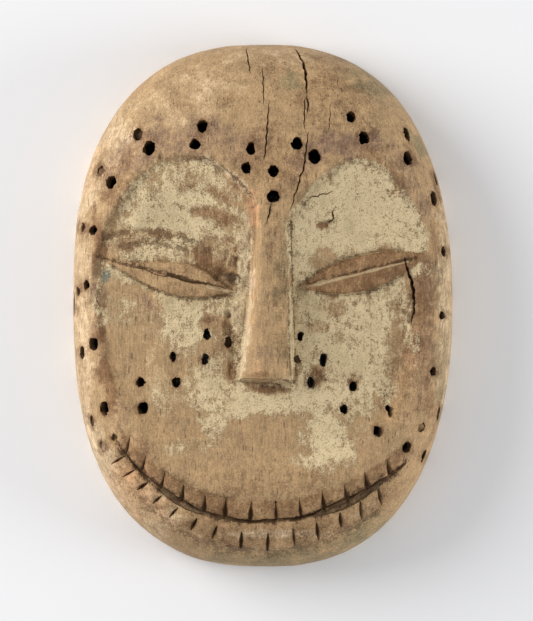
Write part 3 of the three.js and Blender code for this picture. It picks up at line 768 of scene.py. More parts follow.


# Where each finish lies, with painted light and shade among them as marked. An oval: x, y, half width, half
# height, turn in degrees, strength.
# Later ovals paint over earlier ones, and strength 0 rubs off what is there.

finish = {
    "clay": [
        (-27, 27, 22, 15, 0, 0.86), (-24, 37, 10, 5, 12, 0.5), (-44, 27, 4, 9, 0, 0.2),
        (-31, 16.5, 15, 3.2, 0, 0.7), (-7, 20, 3.5, 9, 0, 0.5), (-15.5, 26.4, 6.5, 2.2, -8, 0.05),
        (-10.5, 24.5, 3.2, 2.6, 20, 0.1), (-12, 31, 5.5, 1.8, -30, 0.2), (-32, 20.6, 14, 1.4, -2, 0.15),
        (-38, 17.5, 8, 2.2, 10, 0.2), (-13, 11.5, 7.5, 3, -24, 0), (-9.5, 15.5, 4.5, 5, 10, 0.15),
        (-16, 15.5, 6, 1.8, -12, 0.2), (-38, 8, 9, 3, -28, 0.75), (-46, 3, 3, 9, 0, 0.2),
        (-40, -1, 7, 6, 10, 0.38), (-22.5, -4, 10, 13, 0, 0.9), (-12, 1, 9, 4, 0, 0.75),
        (-11, -19, 9, 9, 0, 0.62), (-13.5, -4.6, 4.6, 2.6, 0, 0.05), (-16, -11.5, 3.4, 2.6, 0, 0.1),
        (-9.5, -9.5, 3, 4.5, 0, 0.2), (-35, 2.6, 8, 3, -25, 0.05), (-13, -26, 14, 5.5, -6, 0.62),
        (-14, -34, 4.5, 4, 0, 0.55), (-27, -27, 7, 6, 0, 0.3), (-20, -40, 8, 3, 0, 0.3),
        (24, 27, 22, 17, 0, 1), (41, 21, 7, 9, 0, 0.95), (10.5, 18, 4, 15, 0, 0.95),
        (17, 22.8, 2, 1.5, 20, 0), (43.5, 10, 3.4, 2.8, 0, 0.9), (24, -10, 18, 20, 0, 0.86),
        (34.5, -4, 8.5, 15, 0, 0.8), (13, -7, 6, 18, 0, 0.85), (24, -23, 13, 7.5, 0, 0.7),
        (7.5, -26.5, 17, 6, 0, 1.05), (16.5, -38, 9, 9.5, 0, 1.05), (26.5, -29, 5, 3.5, 0, 0.5),
        (20, -1, 5, 3, 0, 0.4), (16, -6, 3.5, 2.5, 0, 0.3), (22, -9, 2, 2.4, 0, 0.35),
        (15, -20.5, 3.4, 3.2, 0, 0.2), (26, -21.8, 2, 2.4, 0, 0.3), (7.5, -36.5, 7.5, 7.5, 10, 0.05),
        (11.5, -37.5, 3, 2.2, -30, 0.5), (1.5, -24, 6, 1.4, 0, 0), (-6.6, -2, 2.6, 20, -5, 0.6),
        (-9.2, -18.6, 2.0, 3.4, 8, 0), (-33, -14, 9, 12, 0, 0.12), (30, -36, 5, 3, 0, 0.2),
        (38, -12, 3, 12, 0, 0.2),
    ],
    "haze": [
        (-30, 27, 12, 7, 0, 0.5), (-36, 8, 6, 3, -28, 0.6), (-24, 1, 8, 4, 0, 0.4), (14, 24, 7, 13, 0, 0.5),
        (28, 30, 12, 7, 0, 0.45), (14, -4, 6, 12, 0, 0.5), (22, -17, 9, 6, 0, 0.55), (-12, -18, 8, 9, 0, 0.4),
        (-43, 2, 4, 8, 0, 0.8), (24, -10, 12, 12, 0, 0.4), (20, 20, 12, 12, 0, 0.3),
    ],
    "pale": [
        # Painted highlights: the thin strips along the left brow ridge (-13, 39.6 and -6.2, 34.6), down the
        # nose's lit left flank (-5.6, -3 and -4.2, 20) and just below the mouth line (2, -65; -26, -59; 30,
        # -58). On the left wall, left rim and left forehead (-52, -4; -22, 60; -48, 40; -46, 42; -47, -44;
        # -32, -58) the pale is partly paler wood and partly painted light on the side facing the key lamp
        (-52, -4, 4.4, 52, 0, 0.42), (-22, 60, 22, 10, 20, 0.2), (-13, 39.6, 5.5, 1.2, -30, 0.7),
        (-6.2, 34.6, 4.2, 1.2, -48, 0.8), (-47, -44, 5.5, 20, 25, 0.7), (-48, 40, 4.5, 16, -25, 0.7),
        (52.5, -5, 3, 50, 0, 0.5), (4, 71, 16, 3, 0, 0.3), (-46, 42, 6, 18, -28, 0.5),
        (-32, -58, 12, 6, -45, 0.4), (-5.6, -3, 2.6, 23, -4, 1), (-4.2, 20, 1.4, 7, 3, 0.5),
        (2, -65, 20, 1.3, 0, 0.7), (-26, -59, 8, 1.2, -30, 0.4), (30, -58, 8, 1.2, 28, 0.4),
    ],
    "brown": [
        # The first oval is painted shadow in the pit at the left eye's inner corner
        (-13, 11.5, 7, 3, -24, 0.8), (-9.5, 15.5, 4.5, 5, 10, 0.65), (-16, 15.5, 6, 1.8, -12, 0.5),
        (-15.5, 26.6, 6.5, 2, -8, 0.65), (-10.5, 24.5, 3.2, 2.6, 20, 0.6), (-12, 31, 5.5, 1.6, -30, 0.5),
        (-32, 20.2, 12, 1.1, -4, 0.4), (-38, 17.5, 8, 2.2, 10, 0.4), (-36, 13.5, 8, 3, 0, 0.35),
        (-39, 41.5, 5, 3, 40, 0.6), (-39.5, 35.5, 4, 3, 20, 0.65), (-43, 31, 3.5, 3, 0, 0.6),
        # The ovals at (-46.5, 16) and (-46.6, -4) here and (-44, -22) below are painted shade down the inner
        # side of the left recess wall
        (-46.5, 16, 2.4, 14, 4, 0.9), (-46.6, -4, 2.2, 14, -3, 0.85), (-1.5, -19.6, 3.5, 1.1, 0, 0.7),
        (-8.4, -19, 2.2, 2.6, 0, 0.7), (-44, -22, 2.4, 12, 14, 0.9), (2, 40, 14, 11, 0, 0.45),
        (-4, 33, 6, 5, -40, 0.4), (19, 62, 10, 9, 0, 0.55), (26, 58, 9, 6, -25, 0.35),
        (24, 63, 5, 1.6, -35, 0.6), (-14, 58, 14, 1.6, 8, 0.35), (5, 67, 12, 3, 0, 0.2),
        (24, 52, 12, 5, -10, 0.3), (36, 36, 6, 13, 38, 0.6), (31, 43.5, 9, 3, -18, 0.5),
        (46.5, 2, 4.5, 15, 0, 0.65), (43, -14, 6, 15, 0, 0.55), (38, -27, 7, 9, 0, 0.5),
        (17, 22.8, 2.2, 1.7, 20, 0.9), (-13.5, -4.6, 4.6, 2.6, 0, 0.45), (-9, -10, 3.4, 5, 0, 0.5),
        (1.5, -24, 6.5, 1.5, 0, 0.8), (-8, -16, 1.6, 5, -8, 0.75), (20, -6, 9, 5, 0, 0.3),
        (15, -20.5, 3.4, 3.2, 0, 0.7), (26, -21.8, 2, 2.4, 0, 0.6), (-34, -44, 9, 6, -45, 0.4),
        (-31, -57, 11, 2, -42, 0.5), (47, -22, 1.6, 14, 6, 0.6), (49, 18, 1.6, 12, 0, 0.5),
        (0, -50, 26, 5, 0, 0.3), (10.2, 4, 2, 4, 0, 0.7), (3.4, 18, 3.4, 9, 0, 0.28),
        (5.8, -2, 3, 20, 0, 0.42), (-19, 8.6, 9, 1.8, -17, 0.3), (-27, 23.5, 7, 1.6, 5, 0.35),
        (-20, 34, 5, 1.3, 30, 0.3),
    ],
    "mauve": [
        (-37, 42.5, 11, 5.5, 45, 0.7), (-22, 47.5, 17, 7, 0, 0.55), (-5, 44.5, 9, 6, 0, 0.45),
        (25, 46, 13, 4.5, 0, 0.65), (15, 43, 5, 4.5, 0, 0.8), (20, 46, 8, 4, 0, 0.8), (11, 41, 5, 5, 0, 0.6),
        (38, 42, 7, 4, -30, 0.6), (44, 30, 4, 9, 30, 0.5), (2.7, 19.5, 2.6, 3.4, 0, 0.38),
        # The ovals at (-46.8, 4), (-46, -13) and (-41, -30) are painted shade down the inner side of the left
        # recess wall
        (2.1, 4.5, 2.8, 2.4, 0, 0.4), (1, -14, 3.5, 3.5, 0, 0.45), (-46.8, 4, 2.4, 12, 0, 0.7),
        (-46, -13, 2.4, 9, 8, 0.5), (-41, -30, 3, 8, 15, 0.4), (-34, 1.5, 6, 2.5, -25, 0.5),
        (47.5, 8, 4, 7, 0, 0.6), (-19, 20.5, 12, 2, -8, 0.3), (46, -12, 4, 10, 0, 0.5),
        (44, -20, 4, 9, 10, 0.4), (-13.5, -4.6, 4, 2, 0, 0.4),
    ],
    "green": [
        (-46, 3, 2.2, 13, 0, 0.3), (8.5, 64, 4.5, 3.2, 0, 0.7), (44.5, 46, 1.8, 5.5, 38, 0.8),
        (50, 9, 2.2, 7, 0, 0.6), (-46.5, 8, 1.8, 5, -5, 0.5), (7, -73, 26, 4, 0, 0.6),
        (30, -66, 14, 5, 30, 0.7), (31, 64, 10, 6, -30, 0.5), (24, -52, 10, 3, 20, 0.3),
        (51, -8, 2.6, 30, 0, 0.35), (5.8, 2, 3.2, 22, 0, 0.4),
    ],
    "dark": [
        # The first two are painted shadow in the carved pit at the left eye's inner corner
        (-8, 7.6, 3.4, 1.5, -24, 0.9), (-12.5, 9.8, 3.5, 1.1, -24, 0.6), (-9.2, -18.5, 1.2, 3.2, 8, 0.5),
        (-8.6, 13.4, 1.4, 1.5, 0, 0.5), (-9.5, -2, 1, 1.4, 0, 0.7), (-9.7, -7.5, 1.2, 2, 0, 0.6),
        # The ovals at (-46.8, 6) and (-46.9, -6) are painted shade down the inner side of the left recess
        # wall
        (9.6, 5, 1.4, 2.6, 0, 0.5), (42.4, 3, 1.3, 8, -4, 0.5), (-46.8, 6, 1.2, 10, 0, 0.25),
        (-46.9, -6, 1.1, 9, -3, 0.2), (-15, 24.6, 3, 1, -12, 0.4), (2, -23.2, 6, 0.7, 0, 0.4),
        (2.2, 27.5, 1.1, 2.6, 8, 0.4), (-33, -48.5, 4, 1.2, -48, 0.5),
    ],
    "blue": [(-44.4, 9, 1.3, 2.6, -20, 0.9)],
    "peach": [
        (-2.6, 27, 2.4, 5, 10, 0.9), (-10, 33, 6, 3, -35, 0.4), (-3.4, 5, 2, 24, 3, 0.2),
        (-37, -52, 14, 8, -45, 0.45), (42, -12, 4, 12, 0, 0.4), (-48, 40, 6, 9, -35, 0.4),
        (-1.5, -18.5, 1.6, 3, 0, 0.5),
    ],
    "silt": [(-23, -55, 10, 5, -30, 1), (24, -56, 11, 4, 22, 1)],
    "splinters": [
        (-6.8, 14, 3.4, 18, 2, 1), (-11.5, 14, 6, 6, -20, 0.8), (-14, 26, 7, 3, -6, 0.6),
        (-8, -10, 2.2, 9, -4, 0.9), (2, -23.5, 8, 1.6, 0, 1), (17, 24, 5, 4, 0, 0.6),
    ],
}

# Small hollows left by knife and drill: x, y, half width, half height, turn, depth in mm
dents = [
    (-10.5, 8.4, 5.6, 1.9, -24, 1.5), (9.9, 4.6, 2.0, 2.6, 0, 1.0), (-9.7, -2.3, 1.1, 1.3, 0, 1.3),
    (-28.8, 42.3, 0.9, 0.8, 0, 0.8), (13.8, -20.7, 3.4, 3.4, 0, 0.7), (26, -21.6, 2.6, 3, 0, 0.6),
    (-9.7, -6.6, 1.5, 2.2, 0, 0.9), (17, 23.2, 2.2, 1.4, 20, 0.4), (-8.4, -16, 1.5, 5, -6, 0.5),
    (2, -24.6, 5, 1.4, 0, 0.4), (-20, -46.5, 6, 1.6, -20, 0.5), (17.3, -14, 2.2, 3.4, 0, 0.5),
]


# Lines left by the knife: half width and depth in mm, how dark they are drawn, how far they lie off
# the edge they follow, and between which two places. The dark is dirt in the cut, and painted shade
# where marked
lineParts = ("halfWidth", "depth", "darkening", "off", "run")
knifeLines = {name: dict(zip(lineParts, row)) for name, row in {
    "browEdge": (0.4, 0.45, 0.7, 0.3, (-17, -3)),
    # browSoft is painted shade: a soft dark band just under the brows
    "browSoft": (1.1, 0.3, 0.22, 0.8, (12, 44)),
    # toothLedge is painted shade at the ledge along the top of the upper teeth
    "toothLedge": (0.5, 0.3, 0.4, 6, (-28, -8)),
    "fold": (0.6, 0.45, 0.5, 0),
    # upperLid darkens with dirt and painted shade along the raised upper lid's edge
    "upperLid": (0.3, 0.5, 0.42, 0.1),
    "lowerLid": (0.28, 0.6, 0.5, 0.1),
    "slit": (0.38, 0.3, 0.85, 0.35),
    "noseLeft": (0.22, 0.25, 0.4, -0.2, (-20, 20)),
    "noseRight": (0.2, 0.25, 0.7, 0.2, (-20, 24)),
    "noseScratch": (0.13, 0.08, 0.6, -1.3, (-20, 3)),
    # noseTip is a painted shadow just below the nose's square tip
    "noseTip": (0.45, 0.4, 0.45, -1),
    # lipStep is a painted shadow just under the lower lip's step
    "lipStep": (0.8, 0.35, 0.4, 0.6, (-31, 33)),
    # The mouth line is dirt with a painted shadow along its upper edge, widened where the mouth is gouged
    "mouthDirtAndShade": (0.45, 0.2, 0.9, 0),
}.items()}
# No groove is narrower than the mesh can hold; farOff stands for no line near, hiddenBy for under the nose
groove = {"least": 0.4, "reach": 2, "darkWider": 1.4, "farOff": 9.0, "hiddenBy": 3, "hiddenFrom": 0.2}
# Folds over the left eye: height, bend and the two ends
folds = {"middle": -34, "lines": [(21, 0.014, (-44, -15)), (17.6, 0.012, (-40, -19))]}
# Where along each eye its lines run, as a share of its length
lidRuns = {"left": {"upperLid": (0.06, 0.97), "lowerLid": (0.12, 0.99), "slit": (0.02, 0.93)},
           "right": {"upperLid": (0.2, 0.97), "lowerLid": (0.2, 0.85), "slit": (0.1, 0.9)}}
lidSides = {"upperLid": 1, "lowerLid": -1, "slit": 0}
# The crust left in the slits: its ends as a share of the eye, half width at the outer corner and what
# it gains towards the nose
seams = {"left": {"run": (0.8, 1.0), "half": 0.4, "wider": 0.1},
         "right": {"run": (0.16, 1.0), "half": 0.2, "wider": 0.38}}
seamShape = {"off": -0.25, "eyeLength": 40, "ragged": [(0.2, 19, 0), (0.2, 47, 1)]}

# How the finish is laid on the carving: sizes in mm, and how much brown lies on lids and lip
laying = {
    "skin": 0.6, "backWidth": 50, "backLength": 70, "backReach": 1.05,
    "recess": (-0.6, 1.5), "lidEdge": (-0.2, 0.5), "lidLeast": 0.3, "noseLeft": 0.5, "noseRight": 0.2,
    "lidBrownLeft": 0.35, "lidBrownRight": 0.8, "lipAbove": (7.5, 5), "lipBelow": (-9.5, -8),
    "lipSides": (44, 38), "lipBrownAbove": 0.75, "lipBrownBelow": 0.45,
    "seed": 20, "haloSeed": 80, "ragged": 0.33, "raggedCell": 3.2, "raggedFine": 0.22, "fineCell": 1.2,
    "ovalFrom": 1.25, "ovalTo": 0.5,
}
relief = {
    # depth, cell and seed of each: fibres, hand unevenness, fine unevenness
    "everywhere": [(0.035, (0.9, 12, 0.9), 51), (0.16, (9, 14, 9), 52), (0.05, (3, 5, 3), 55)],
    "splinter": 0.42, "splinterCell": (0.9, 1.5, 0.9), "splinterSeed": 53, "splinterSunk": 0.15,
    "crust": 0.05, "crustCell": 0.9, "crustSeed": 54, "dentSeed": 70,
    "skin": 0.3, "floorClear": 0.05, "sharpAngle": 38,
}


def ovals(points, patches, seed):
    # How far into an oval each point lies, with a ragged edge
    ragged = (laying["ragged"] * softNoise(points, laying["raggedCell"], seed)
              + laying["raggedFine"] * softNoise(points, laying["fineCell"], seed + 1))
    field = np.zeros(len(points))
    for x, y, halfWidth, halfHeight, turn, strength in patches:
        cos, sin = math.cos(math.radians(turn)), math.sin(math.radians(turn))
        across, along = points[:, 0] - x, points[:, 1] - y
        across, along = across * cos + along * sin, along * cos - across * sin
        outward = np.hypot(across / halfWidth, along / halfHeight)
        field = mix(field, strength, smoothRise(laying["ovalFrom"], laying["ovalTo"], outward + ragged))
    return field


def outside(place, run):
    start, end = run
    return np.maximum(start - place, 0) + np.maximum(place - end, 0)


def keepCloser(nearest, offset):
    closer = np.linalg.norm(offset, axis=-1) < np.linalg.norm(nearest, axis=-1)
    nearest[closer] = offset[closer]


def lineFields(x, y):
    # For each knife line, how far a point lies off it: sideways, past its ends, and hidden by the nose
    fields = {name: np.full((len(x), 3), groove["farOff"]) for name in knifeLines}
    clear = groove["hiddenFrom"]
    onNose = groove["hiddenBy"] * smoothRise(-clear, clear, noseHeight(x, y) - faceHeight(x, y))

    def add(name, distance, place, run=None, hidden=onNose):
        line = knifeLines[name]
        past = outside(place, run or line["run"])
        keepCloser(fields[name], np.stack([distance - line["off"], past, hidden + 0 * x], axis=-1))

    add("browEdge", underBrow(x, y), x)
    add("browSoft", underBrow(x, y), np.abs(x))
    add("toothLedge", y - mouthLine(x), x, hidden=0)
    for top, bend, run in folds["lines"]:
        add("fold", y - top + bend * (x - folds["middle"]) ** 2, x, run)
    for eye, runs in lidRuns.items():
        span = abs(eyes[eye]["inner"][0] - eyes[eye]["outer"][0])
        along, up = eyePlace(eyes[eye], x, y)
        for name, (start, end) in runs.items():
            side = lidSides[name]
            distance = side * up - lidReach(eyes[eye], along, side) if side else up
            add(name, distance, along * span, (start * span, end * span))
    slope = np.hypot(1, slopeOf(mouthLine, x))
    wider = 1 + groove["darkWider"] * mouthLift(x)
    fromMouth = (y - mouthLine(x) - mouthLift(x)) / slope / wider
    add("mouthDirtAndShade", fromMouth, x, (-mouth["reach"], mouth["reach"]), hidden=0)
    height = lip["height"] - lip["sideLoss"] * np.abs(x) / mouth["reach"]
    add("lipStep", mouthLine(x) - y - height, x, hidden=0)
    left, right = noseCorners(y)[0][0], noseCorners(y)[4][0]
    add("noseLeft", x - left, y)
    add("noseRight", x - right, y)
    add("noseScratch", x - right, y, hidden=0)
    add("noseTip", y - nose["tip"], x, (left, right))
    return fields


def seamField(x, y):
    # How far a point lies off the crust in the slits, counted in its half widths
    nearest = np.full((len(x), 3), groove["farOff"])
    for eye, seam in seams.items():
        along, up = eyePlace(eyes[eye], x, y)
        half = (seam["half"] + seam["wider"] * np.clip(along, 0, 1)) * waves(along, seamShape["ragged"], 1)
        past = seamShape["eyeLength"] * outside(along, seam["run"])
        keepCloser(nearest, np.stack([up - seamShape["off"], past, 0 * x], axis=-1) / half[:, None])
    return nearest


def onLids(x, y):
    lids = np.zeros(len(x))
    for eye in eyes.values():
        along, up = eyePlace(eye, x, y)
        reach = lidReach(eye, along, up)
        inside = smoothRise(*laying["lidEdge"], reach - np.abs(up))
        lids = np.maximum(lids, inside * (reach > laying["lidLeast"]))
    return lids


def stainFields(points):
    # The ovals, held to the parts of the carving that they belong to
    x, y, _ = points.T
    fields = {name: ovals(points, patches, laying["seed"] + 3 * i)
              for i, (name, patches) in enumerate(finish.items())}
    corners = noseCorners(y)
    isNose = (frontHeight(x, y) == noseHeight(x, y)) & (noseHeight(x, y) > 0)
    noseTop = isNose & (x > corners[1][0] - laying["noseLeft"]) & (x < corners[3][0] - laying["noseRight"])
    halos = [(*spot[:2], spot[2] / 2 + drill["halo"], spot[3] / 2 + drill["halo"], 0, drill["haloDirt"])
             for group in holes.values() for spot in group]
    lids = onLids(x, y)
    fields["clay"] *= smoothRise(*laying["recess"], insideFace(x, y)) * (1 - lids) * (1 - noseTop)
    nearMouth = y - mouthLine(x)
    lipBand = (smoothRise(*laying["lipBelow"], nearMouth) * smoothRise(*laying["lipAbove"], nearMouth)
               * smoothRise(*laying["lipSides"], np.abs(x)))
    for brown in (ovals(points, halos, laying["haloSeed"]),
                  np.where(x < 0, laying["lidBrownLeft"], laying["lidBrownRight"]) * lids,
                  np.where(nearMouth > 0, laying["lipBrownAbove"], laying["lipBrownBelow"]) * lipBand):
        fields["brown"] = np.maximum(fields["brown"], brown)
    return fields


def reliefOf(points, fields, lines, atFront, onBack):
    # How far each point is moved in or out, in mm
    x, y, z = points.T
    grooves = np.zeros(len(x))
    for name, line in knifeLines.items():
        off = np.linalg.norm(lines[name], axis=-1) / max(line["halfWidth"], groove["least"])
        grooves = np.maximum(grooves, line["depth"] * smoothRise(groove["reach"], 0, off))
    moved = sum(depth * softNoise(points, cell, seed) for depth, cell, seed in relief["everywhere"])
    torn = relief["splinter"] * softNoise(points, relief["splinterCell"], relief["splinterSeed"])
    moved += fields["splinters"] * (torn - relief["splinterSunk"])
    grainy = 1 + softNoise(points, relief["crustCell"], relief["crustSeed"])
    moved += relief["crust"] * fields["clay"] * grainy
    moved -= ovals(points, dents, relief["dentSeed"]) * atFront
    moved -= grooves * atFront
    ridge = smoothRise(face["ridgeWidth"], 0, np.abs(underBrow(x, y) + face["ridgeOff"]))
    ends = smoothRise(*face["ridgeStart"], x) * smoothRise(*face["ridgeEnd"], x)
    moved += face["ridge"] * ridge * ends * (1 - onBack)
    return moved * (z > relief["floorClear"])


def paintMask(piece):
    mesh = piece.data
    points = readVectors(mesh.vertices, "co").astype(float) / mm
    out = readVectors(mesh.vertex_normals, "vector")
    x, y, z = points.T
    # How deep below the front a point lies, and how far it still is from the hollow
    roof = domeHeight(hollow, x, y)
    sunk = np.maximum(frontHeight(x, y) - z, 0)
    cut = np.minimum(sunk, np.maximum(z - roof - laying["skin"], 0))
    onBack = z < roof + laying["skin"]
    onBack &= np.hypot(x / laying["backWidth"], y / laying["backLength"]) < laying["backReach"]
    fields = stainFields(points)
    lines = lineFields(x, y)
    lines["seam"] = seamField(x, y)
    for values in lines.values():
        values[onBack] = groove["farOff"]
    for name in finish:
        fields[name] *= 1 - onBack
    fields.update(lines, cut=np.where(onBack, 0, cut), back=onBack.astype(float))
    atFront = (sunk < relief["skin"]) * (1 - onBack)
    moved = points + out * reliefOf(points, fields, lines, atFront, onBack)[:, None]
    worn = toothShoulders(x, y) * (1 - onBack) * (z > teeth["shoulderFrom"])
    moved[:, 2] -= teeth["shoulderDepth"] * worn
    mesh.vertices.foreach_set("co", (moved * mm).astype(np.float32).ravel())
    for name, values in fields.items():
        flat = values.ndim == 1
        layer = mesh.attributes.new(name, "FLOAT" if flat else "FLOAT_VECTOR", "POINT")
        layer.data.foreach_set("value" if flat else "vector", values.astype(np.float32).ravel())
    mesh.update()
    mesh.shade_smooth()
    mesh.set_sharp_from_angle(angle=math.radians(relief["sharpAngle"]))


paintMask(mask)
print("finish laid on")


# Weathered pale hardwood, hand carved and rubbed with kaolin: fibrous and matt, darker where hands and
# dirt have been, with a grainy cream crust left in the hollows. Painted shade darkens its cuts and
# recesses, and painted highlights lie on a few lit edges

woodLook = {
    # name: size in mm, how many times longer up the grain, detail, roughness. Real fibres are finer
    # than a pixel, so these are drawn as coarse as they need to show
    "noises": {"fibre": (0.42, 10, 2, 0.6), "sand": (0.4, 1.1, 2, 0.75), "mottle": (1.5, 1.3, 4, 0.7),
               "blotch": (6, 1.5, 4, 0.6), "band": (14, 0.22, 3, 0.6)},
    "tone": {"fibre": 1.3, "sand": 1.8, "mottle": 1.1, "blotch": 1.2, "band": 0.5},
    "toneFrom": -0.2, "toneTo": 1.2, "darkest": 0.5, "lightest": 1.52,
    # Cells with one pore each, about 0.3 mm by 1.7 mm; those over "rare" show
    "pores": {"width": 0.9, "length": 5, "edge": (0.289, 0.136), "rare": 0.72, "dark": 0.6},
    "grit": {"spacing": 0.8, "edge": (0.26, 0.1)},   # sand grains of 0.3 mm in the clay
    "sandy": {"sand": 3.4, "mottle": 2.2}, "sandyEdge": (0.6, -0.25),
    "seamRagged": {"blotch": 2.4, "mottle": 2.2, "sand": 1.6}, "seamEdge": (1.35, 0.7),
    "lineBreaks": {"mottle": 9, "sand": 5, "blotch": 4}, "lineEdge": (1.7, 0.1), "patchEdge": (0.02, 0.22),
    "seam": 0.5, "backStain": 0.45,
    # Dry wood and clay hardly shine; less than the usual specular level of 0.5
    "woodRoughness": 0.72, "clayRoughness": 0.95, "shine": 0.3,
    "bumpDepth": 0.25, "bumpStrength": 0.8,
}
# The dark brown of knife lines and cuts is dirt with painted shade; the near-black is painted shade in the
# deepest cuts and holes
woodColors = {name: hexColor(value) for name, value in {
    "middle": "#ad8f69", "pale": "#d6c09f", "peach": "#c99a72", "brown": "#7a5737", "dark": "#46301f",
    "mauve": "#806554", "green": "#7f7858", "blue": "#4e6a68", "clay": "#e2cea6", "haze": "#a89974",
    "speck": "#4a3825", "soilAndShade": "#523a24", "silt": "#715e43", "deepShade": "#0e0a07", "back": "#8c6c49"}.items()}

# Each stain or coat: how the noises fray its edge, where it starts and is full, and its most. Light ones
# fray towards the light of the wood, dark ones sit where the wood is dark already. Some pale, brown,
# mauve and dark ovals laid this way are painted light and shade, as marked where they are placed
frayed = {"blotch": 1.2, "mottle": 0.9, "sand": 0.6, "band": 0.4}
frayedDark = {name: -weight for name, weight in frayed.items()}
stains = {
    "pale": (frayed, 0.05, 1.0, 0.75), "peach": (frayed, 0.05, 1.0, 0.7),
    "mauve": (frayedDark, 0.05, 1.0, 0.85), "brown": (frayedDark, 0.05, 1.0, 0.85),
    "green": (frayedDark, 0.05, 1.0, 0.65), "blue": (frayedDark, 0.05, 1.0, 0.7),
    "dark": (frayedDark, 0.05, 1.0, 0.8),
}
coats = {
    "clay": ({"blotch": 1.9, "mottle": 2.2, "sand": 1.7, "fibre": 0.5}, 0.08, 0.85, 0.92),
    "haze": ({"blotch": 2.2, "mottle": 1.8, "sand": 1.2}, 0.3, 1.1, 0.8),
    "specks": ({"blotch": 3.5, "mottle": 2.5}, 0.6, 1.3, 0.6),
    "silt": ({"mottle": 4.0, "sand": 3.0}, 0.2, 0.9, 0.85),
}
# What darkens a cut, by how deep it goes in mm: from, to and its most. The first is dirt with painted shade
# that darkens as the cut deepens; the silt lies in the shallow part; the last is near-black painted shade in
# the deepest cuts and holes
inCuts = {"soilAndShade": (0.08, 1.2, 0.85), "siltTop": (0.05, 0.25, 1), "siltFoot": (0.85, 0.45, 1),
          "deepShade": (2.0, 3.4, 1)}
bumps = {"fibre": 0.5, "sand": 0.6, "mottle": 0.9, "clay": 0.3, "torn": 3.2,
         "pore": -0.3, "specks": -0.5, "line": -0.5}

multiply, multiplyAdd = {"operation": "MULTIPLY"}, {"operation": "MULTIPLY_ADD"}
smooth, blend = {"interpolation_type": "SMOOTHSTEP"}, {"data_type": "RGBA"}


def fray(tree, value, noise, weights):
    # Adds each noise, from its middle of 0.5, times its weight
    for name, weight in weights.items():
        value = addNode(tree, "ShaderNodeMath", multiplyAdd, {0: noise[name], 1: weight, 2: value})
    return addNode(tree, "ShaderNodeMath", {"operation": "SUBTRACT"},
                   {0: value, 1: sum(weights.values()) / 2})


def patchOf(tree, field, noise, weights, start, end, high):
    # Ragged where the field fades, and never outside it
    ragged = fray(tree, field, noise, weights)
    inside, within = (addNode(tree, "ShaderNodeMapRange", smooth, {
        "Value": value, "From Min": low, "From Max": full, "To Max": most})
        for value, low, full, most in ((ragged, start, end, high), (field, *woodLook["patchEdge"], 1)))
    return addNode(tree, "ShaderNodeMath", multiply, {0: inside, 1: within})


